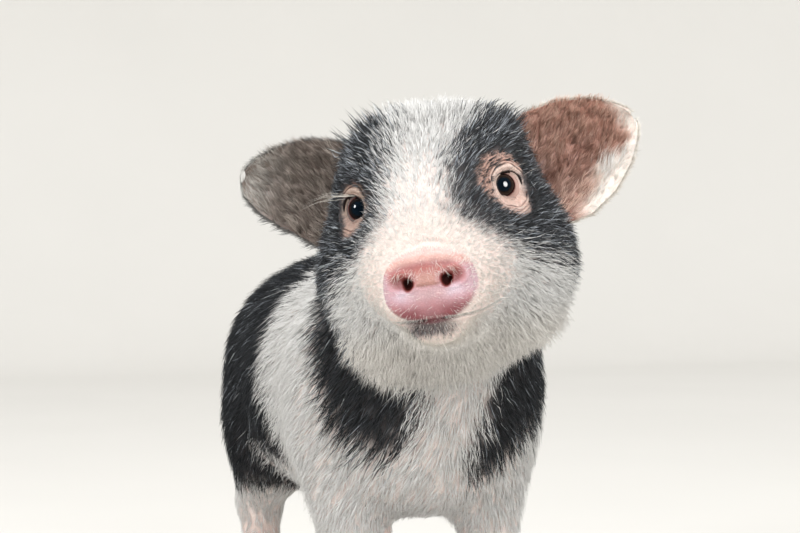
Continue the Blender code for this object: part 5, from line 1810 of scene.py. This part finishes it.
def banded(tree, value, *stops):
    """Colours by a value, from one stop to the next."""
    made = node(tree, "ShaderNodeValToRGB", {"Fac": value})
    bands = made.color_ramp.elements
    first, *between, last = stops
    for band, (at, colour) in zip(bands, (first, last)):
        band.position, band.color = at, (*colour, 1)
    for at, colour in between:
        bands.new(at).color = (*colour, 1)
    return made.outputs["Color"]


def relief(tree, height, strength, distance):
    """The normal of a surface with a fine relief, whose depth is in millimetres."""
    inputs = {"Strength": strength, "Distance": distance * MM, "Height": height}
    return node(tree, "ShaderNodeBump", inputs).outputs["Normal"]


def new_group(name, inputs, outputs):
    """A shader group with its sockets, and the nodes for what comes in and what goes out."""
    group = bpy.data.node_groups.new(name, "ShaderNodeTree")
    for socket, kind, value in inputs:
        made = group.interface.new_socket(name=socket, in_out="INPUT", socket_type=kind)
        made.default_value = value
    for socket, kind in outputs:
        group.interface.new_socket(name=socket, in_out="OUTPUT", socket_type=kind)
    return group, group.nodes.new("NodeGroupInput").outputs, group.nodes.new("NodeGroupOutput")


def pores_group():
    """Fine bare skin: pores and creases of one size, as a height, and painted shade that makes the colour a
    little darker in them.
    """
    group, given, put = new_group(
        "skin pores",
        (
            ("Color", "NodeSocketColor", (1, 1, 1, 1)),
            ("Scale", "NodeSocketFloat", 700.0),
            ("Darker", "NodeSocketFloat", 0.2),
        ),
        (("Color", "NodeSocketColor"), ("Height", "NodeSocketFloat")),
    )
    place = object_place(group)
    inputs = {"Vector": place, "Scale": given["Scale"]}
    cells = node(group, "ShaderNodeTexVoronoi", inputs, feature="DISTANCE_TO_EDGE")
    soft = noise_at(group, place, Scale=260.0, Detail=5.0)
    edges = mapped(group, cells.outputs["Distance"], (0, 0.25), (0, 1))
    height = maths(group, "MULTIPLY_ADD", edges, 0.6, soft).outputs[0]
    # Painted shade: the lower the relief, the darker the colour.
    low = mapped(group, height, (0.5, 1.1), (1, 0))
    amount = maths(group, "MULTIPLY", low, given["Darker"]).outputs[0]
    colour = shaded(group, given["Color"], amount, (0.45, 0.3, 0.28))
    feed(group, put, {"Height": height, "Color": colour})
    return group


def streak_group():
    """A little lighter and darker from strand to strand."""
    group, given, put = new_group(
        "strand streaks",
        (("Color", "NodeSocketColor", (1, 1, 1, 1)), ("Strength", "NodeSocketFloat", 0.15)),
        (("Color", "NodeSocketColor"), ("Roughness", "NodeSocketFloat")),
    )
    noise = noise_at(group, object_place(group), Scale=900.0, Detail=2.0)
    amount = maths(group, "MULTIPLY", noise, given["Strength"]).outputs[0]
    colour = shaded(group, given["Color"], amount, (0.3, 0.28, 0.26))
    feed(group, put, {"Color": colour, "Roughness": mapped(group, noise, (0, 1), (0.38, 0.6))})
    return group


def new_material(name):
    """A material with its nodes and its shader."""
    material = bpy.data.materials.new(name)
    material.use_nodes = True
    return material, material.node_tree, material.node_tree.nodes["Principled BSDF"]


def tinted(tree, group, **values):
    """A shader group on the colours that a mesh keeps at its vertices, and those colours."""
    tint = node(tree, "ShaderNodeAttribute", attribute_name="tint").outputs["Color"]
    return node(tree, "ShaderNodeGroup", {"Color": tint, **values}, node_tree=group).outputs, tint


def skin_material(name, pores, scale, darker, rough, strength, soft):
    """Bare skin with pores; dark skin shines less."""
    material, tree, shader = new_material(name)
    # The pores' painted shade, as strong as darker says.
    detail, tint = tinted(tree, pores, Scale=scale, Darker=darker)
    normal = relief(tree, detail["Height"], strength, 0.35)
    bright = node(tree, "ShaderNodeRGBToBW", {"Color": tint}).outputs["Val"]
    inputs = {
        "Base Color": detail["Color"],
        "Normal": normal,
        "Roughness": rough,
        "Specular IOR Level": mapped(tree, bright, (0.03, 0.16), (0.02, 0.4)),
        "Subsurface Weight": soft,
        "Subsurface Radius": (1.0, 0.35, 0.25),
        "Subsurface Scale": 2.0 * MM,
    }
    feed(tree, shader, inputs)
    return material


def coat_material(name, streaks, strength):
    """Hair in its own colours, a little uneven from strand to strand."""
    material, tree, shader = new_material(name)
    detail, _ = tinted(tree, streaks, Strength=strength)
    inputs = {"Base Color": detail["Color"], "Roughness": detail["Roughness"], "Specular IOR Level": 0.3}
    feed(tree, shader, inputs)
    return material


def eye_material(side):
    """A dark wet eye: pupil, brown iris, black rim and reddish white, by the angle from where it looks."""
    material, tree, shader = new_material("wet eye")
    centre = turned(metres(EYE_CENTRE)[None] * (side, 1, 1), HEAD)[0] + SHIFT
    place = object_place(tree)
    places = {"kind": "ShaderNodeVectorMath"}
    off = maths(tree, "SUBTRACT", place, centre, **places).outputs[0]
    way = maths(tree, "NORMALIZE", off, **places).outputs[0]
    facing = maths(tree, "DOT_PRODUCT", way, look_way(side), **places).outputs["Value"]
    angle = maths(tree, "ARCCOSINE", facing).outputs[0]
    uneven = noise_at(tree, place, Scale=900.0)
    angle = maths(tree, "MULTIPLY_ADD", uneven, 0.08, angle).outputs[0]
    # The right eye's iris and white are darker copies: painted shade.
    iris, white = np.array(IRIS_BROWNS_LIT_AND_SHADED[side]), np.array(EYE_WHITES_LIT_AND_SHADED[side])
    colour = banded(
        tree,
        angle,
        # The pupil's faint blue is a painted reflection.
        (0.0, (0.002, 0.004, 0.007)),
        (0.38, (0.004, 0.008, 0.013)),
        (0.46, 0.5 * iris),
        (0.58, iris),
        (0.66, (0.006, 0.004, 0.004)),
        (0.70, (0.07, 0.016, 0.013)),
        (0.80, 0.8 * white),
        (1.0, white),
    )
    inputs = {
        "Base Color": colour,
        "Roughness": 0.3,
        "Specular IOR Level": 0.0,
        "Coat Weight": 1.0,
        "Coat Roughness": 0.01,
        "Coat IOR": 1.45,
    }
    feed(tree, shader, inputs)
    return material


def horn_material():
    """Horn: brown-grey with rings that follow the sole up the wall, rougher in some rings than in others."""
    material, tree, shader = new_material("horn")
    inputs = {"Vector": object_place(tree), "Scale": (0.25, 0.25, 1.0)}
    place = node(tree, "ShaderNodeMapping", inputs).outputs[0]
    rings = noise_at(tree, place, Scale=900.0, Detail=4.0)
    colour = banded(tree, rings, (0.3, (0.085, 0.062, 0.045)), (0.72, (0.30, 0.235, 0.175)))
    rough = mapped(tree, rings, (0, 1), (0.35, 0.62))
    inputs = {"Base Color": colour, "Roughness": rough, "Normal": relief(tree, rings, 0.35, 0.25)}
    feed(tree, shader, inputs)
    return material


def stage_material():
    """Pale paper for the floor."""
    material, tree, shader = new_material("pale paper")
    noise = noise_at(tree, object_place(tree), Scale=3.0)
    colour = banded(tree, noise, (0.0, (0.69, 0.68, 0.655)), (1.0, (0.72, 0.71, 0.685)))
    feed(tree, shader, {"Base Color": colour, "Roughness": 0.85, "Specular IOR Level": 0.1})
    return material


def wear(obj, material):
    """Gives a piece its one material."""
    obj.data.materials.clear()
    obj.data.materials.append(material)
    return obj


# ---- stage, light and camera ----
CAMERA_AWAY = 0.75
CAMERA_ROUND = math.radians(18)
FOCUS = 1648
PHOTO_WIDE = 800
EYES_AT = (34.3, 67.8)
LIT = Vector((-0.02, -0.15, 0.2))
ROOM_LIGHT = 1.27
# Each light's place and size in metres, and its power.
LIGHTS = {
    "window": ((0.22, -1.36, 0.78), (0.50, 0.45), 5.2),
    "window glint": ((0.22, -1.37, 0.84), (0.76, 0.98), 39),
    "far window": ((-1.16, -0.19, 0.59), (0.28, 0.32), 6),
    "above": ((-0.25, -0.75, 1.45), (0.9, 0.9), 8),
}


def make_stage():
    """A pale floor that curves up into a backdrop far behind."""
    bm = bmesh.new()
    bmesh.ops.create_grid(bm, x_segments=1, y_segments=1, size=3)
    bmesh.ops.translate(bm, vec=(0, -0.6, 0), verts=bm.verts)
    edge = [e for e in bm.edges if all(v.co.y > 2 for v in e.verts)]
    bmesh.ops.spin(
        bm, geom=edge, cent=(0, 2.4, 0.9), axis=(1, 0, 0), dvec=(0, 0, 0), angle=math.radians(90), steps=16
    )
    rim = [e for e in bm.edges if all(v.co.z > 0.899 for v in e.verts)]
    top = bmesh.ops.extrude_edge_only(bm, edges=rim)["geom"]
    bmesh.ops.translate(bm, vec=(0, 0, 3), verts=[g for g in top if isinstance(g, bmesh.types.BMVert)])
    bmesh.ops.recalc_face_normals(bm, faces=bm.faces)
    floor = object_from("floor", bm)
    smooth_shading(floor.data)
    floor.visible_glossy = False
    wear(floor, stage_material())


def soft_light(name, place, size, power):
    """An area light that faces the piglet's shoulders."""
    light = bpy.data.lights.new(name, "AREA")
    light.shape = "RECTANGLE"
    light.size, light.size_y = size
    light.energy = power
    obj = bpy.data.objects.new(name, light)
    obj.location = place
    obj.rotation_euler = (LIT - Vector(place)).to_track_quat("-Z", "Y").to_euler()
    bpy.context.scene.collection.objects.link(obj)
    return obj


def light_studio():
    """Even light all round, a soft window in front, and its glint in the eyes and on the disc."""
    world = bpy.data.worlds.new("studio")
    world.use_nodes = True
    world.node_tree.nodes["Background"].inputs["Color"].default_value = (1.0, 0.99, 0.97, 1)
    world.node_tree.nodes["Background"].inputs["Strength"].default_value = ROOM_LIGHT
    bpy.context.scene.world = world
    world.cycles_visibility.glossy = False
    lights = {name: soft_light(name, *values) for name, values in LIGHTS.items()}
    lights["window glint"].visible_diffuse = False
    lights["window glint"].data.shape = "ELLIPSE"
    lights["far window"].data.shape = "ELLIPSE"
    lights["above"].visible_glossy = False
    bpy.context.scene.view_settings.view_transform = "Standard"


def aim_camera():
    """The photo's viewpoint: level with the head, a little to one side, with the eyes in the same place."""
    data = bpy.data.cameras.new("camera")
    data.sensor_width = 36
    data.lens = data.sensor_width * FOCUS / PHOTO_WIDE
    camera = bpy.data.objects.new("camera", data)
    look = Vector((math.sin(CAMERA_ROUND), math.cos(CAMERA_ROUND), 0))
    right = Vector((look.y, -look.x, 0))
    eyes = HEAD_AT + Vector(SHIFT)
    scale = CAMERA_AWAY / FOCUS
    across, down = right * EYES_AT[0] * scale, Vector((0, 0, EYES_AT[1] * scale))
    camera.location = eyes - look * CAMERA_AWAY - across - down
    camera.rotation_euler = (math.radians(90), 0, -CAMERA_ROUND)
    bpy.context.scene.collection.objects.link(camera)
    bpy.context.scene.camera = camera


def ridden(obj):
    """A piece that rides the root."""
    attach(obj, "root")
    return obj


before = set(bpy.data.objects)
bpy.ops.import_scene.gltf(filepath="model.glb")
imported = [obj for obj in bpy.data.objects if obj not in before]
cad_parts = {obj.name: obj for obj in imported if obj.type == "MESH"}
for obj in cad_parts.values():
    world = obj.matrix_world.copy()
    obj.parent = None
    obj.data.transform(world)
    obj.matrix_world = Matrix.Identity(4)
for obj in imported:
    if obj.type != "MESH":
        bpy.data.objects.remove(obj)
CAD_LOW, CAD_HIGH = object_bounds()
low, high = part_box("eye_left")
SHIFT = np.array((low + high) / 2 - HEAD @ (Vector(EYE_CENTRE) * MM))

aim_camera()
light_studio()
make_stage()

pores = pores_group()
streaks = streak_group()

skin, mouth = make_skin()
add_ears(skin)
marks = ear_marks(skin.data)
store(skin.data, "tint", np.clip(skin_colour(places_of(skin.data), marks, mouth), 0, 1))
smooth_shading(skin.data)
unwrap(skin)
surface = surface_of(skin)
coat = grow_coat(surface, SHIFT, CAD_LOW, CAD_HIGH)
skin.data.transform(Matrix.Translation(SHIFT))
wear(skin, skin_material("skin", pores, scale=900.0, darker=0.25, rough=0.5, strength=0.5, soft=0.12))
ridden(skin)
flesh = ("head", "neck", "torso", "tail", "ear_left", "ear_right")
legs = ("leg_front_left", "leg_front_right", "leg_hind_left", "leg_hind_right")
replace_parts(skin, *flesh, *legs)
coat_look = coat_material("bristles", streaks, strength=0.12)
for piece in coat:
    wear(piece, coat_look)
    ridden(piece)
lid_look = skin_material("lid skin", pores, scale=1400.0, darker=0.45, rough=0.42, strength=0.7, soft=0.08)
for side, word in SIDES:
    ball = make_eyeball(side, word)
    ball.data.transform(Matrix.Translation(SHIFT))
    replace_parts(ridden(wear(ball, eye_material(side))), "eye_" + word)
    lids = make_lids(side, word)
    lids.data.transform(Matrix.Translation(SHIFT))
    ridden(wear(lids, lid_look))
horn = horn_material()
for piece in make_feet():
    piece.data.transform(Matrix.Translation(SHIFT))
    ridden(wear(piece, horn))
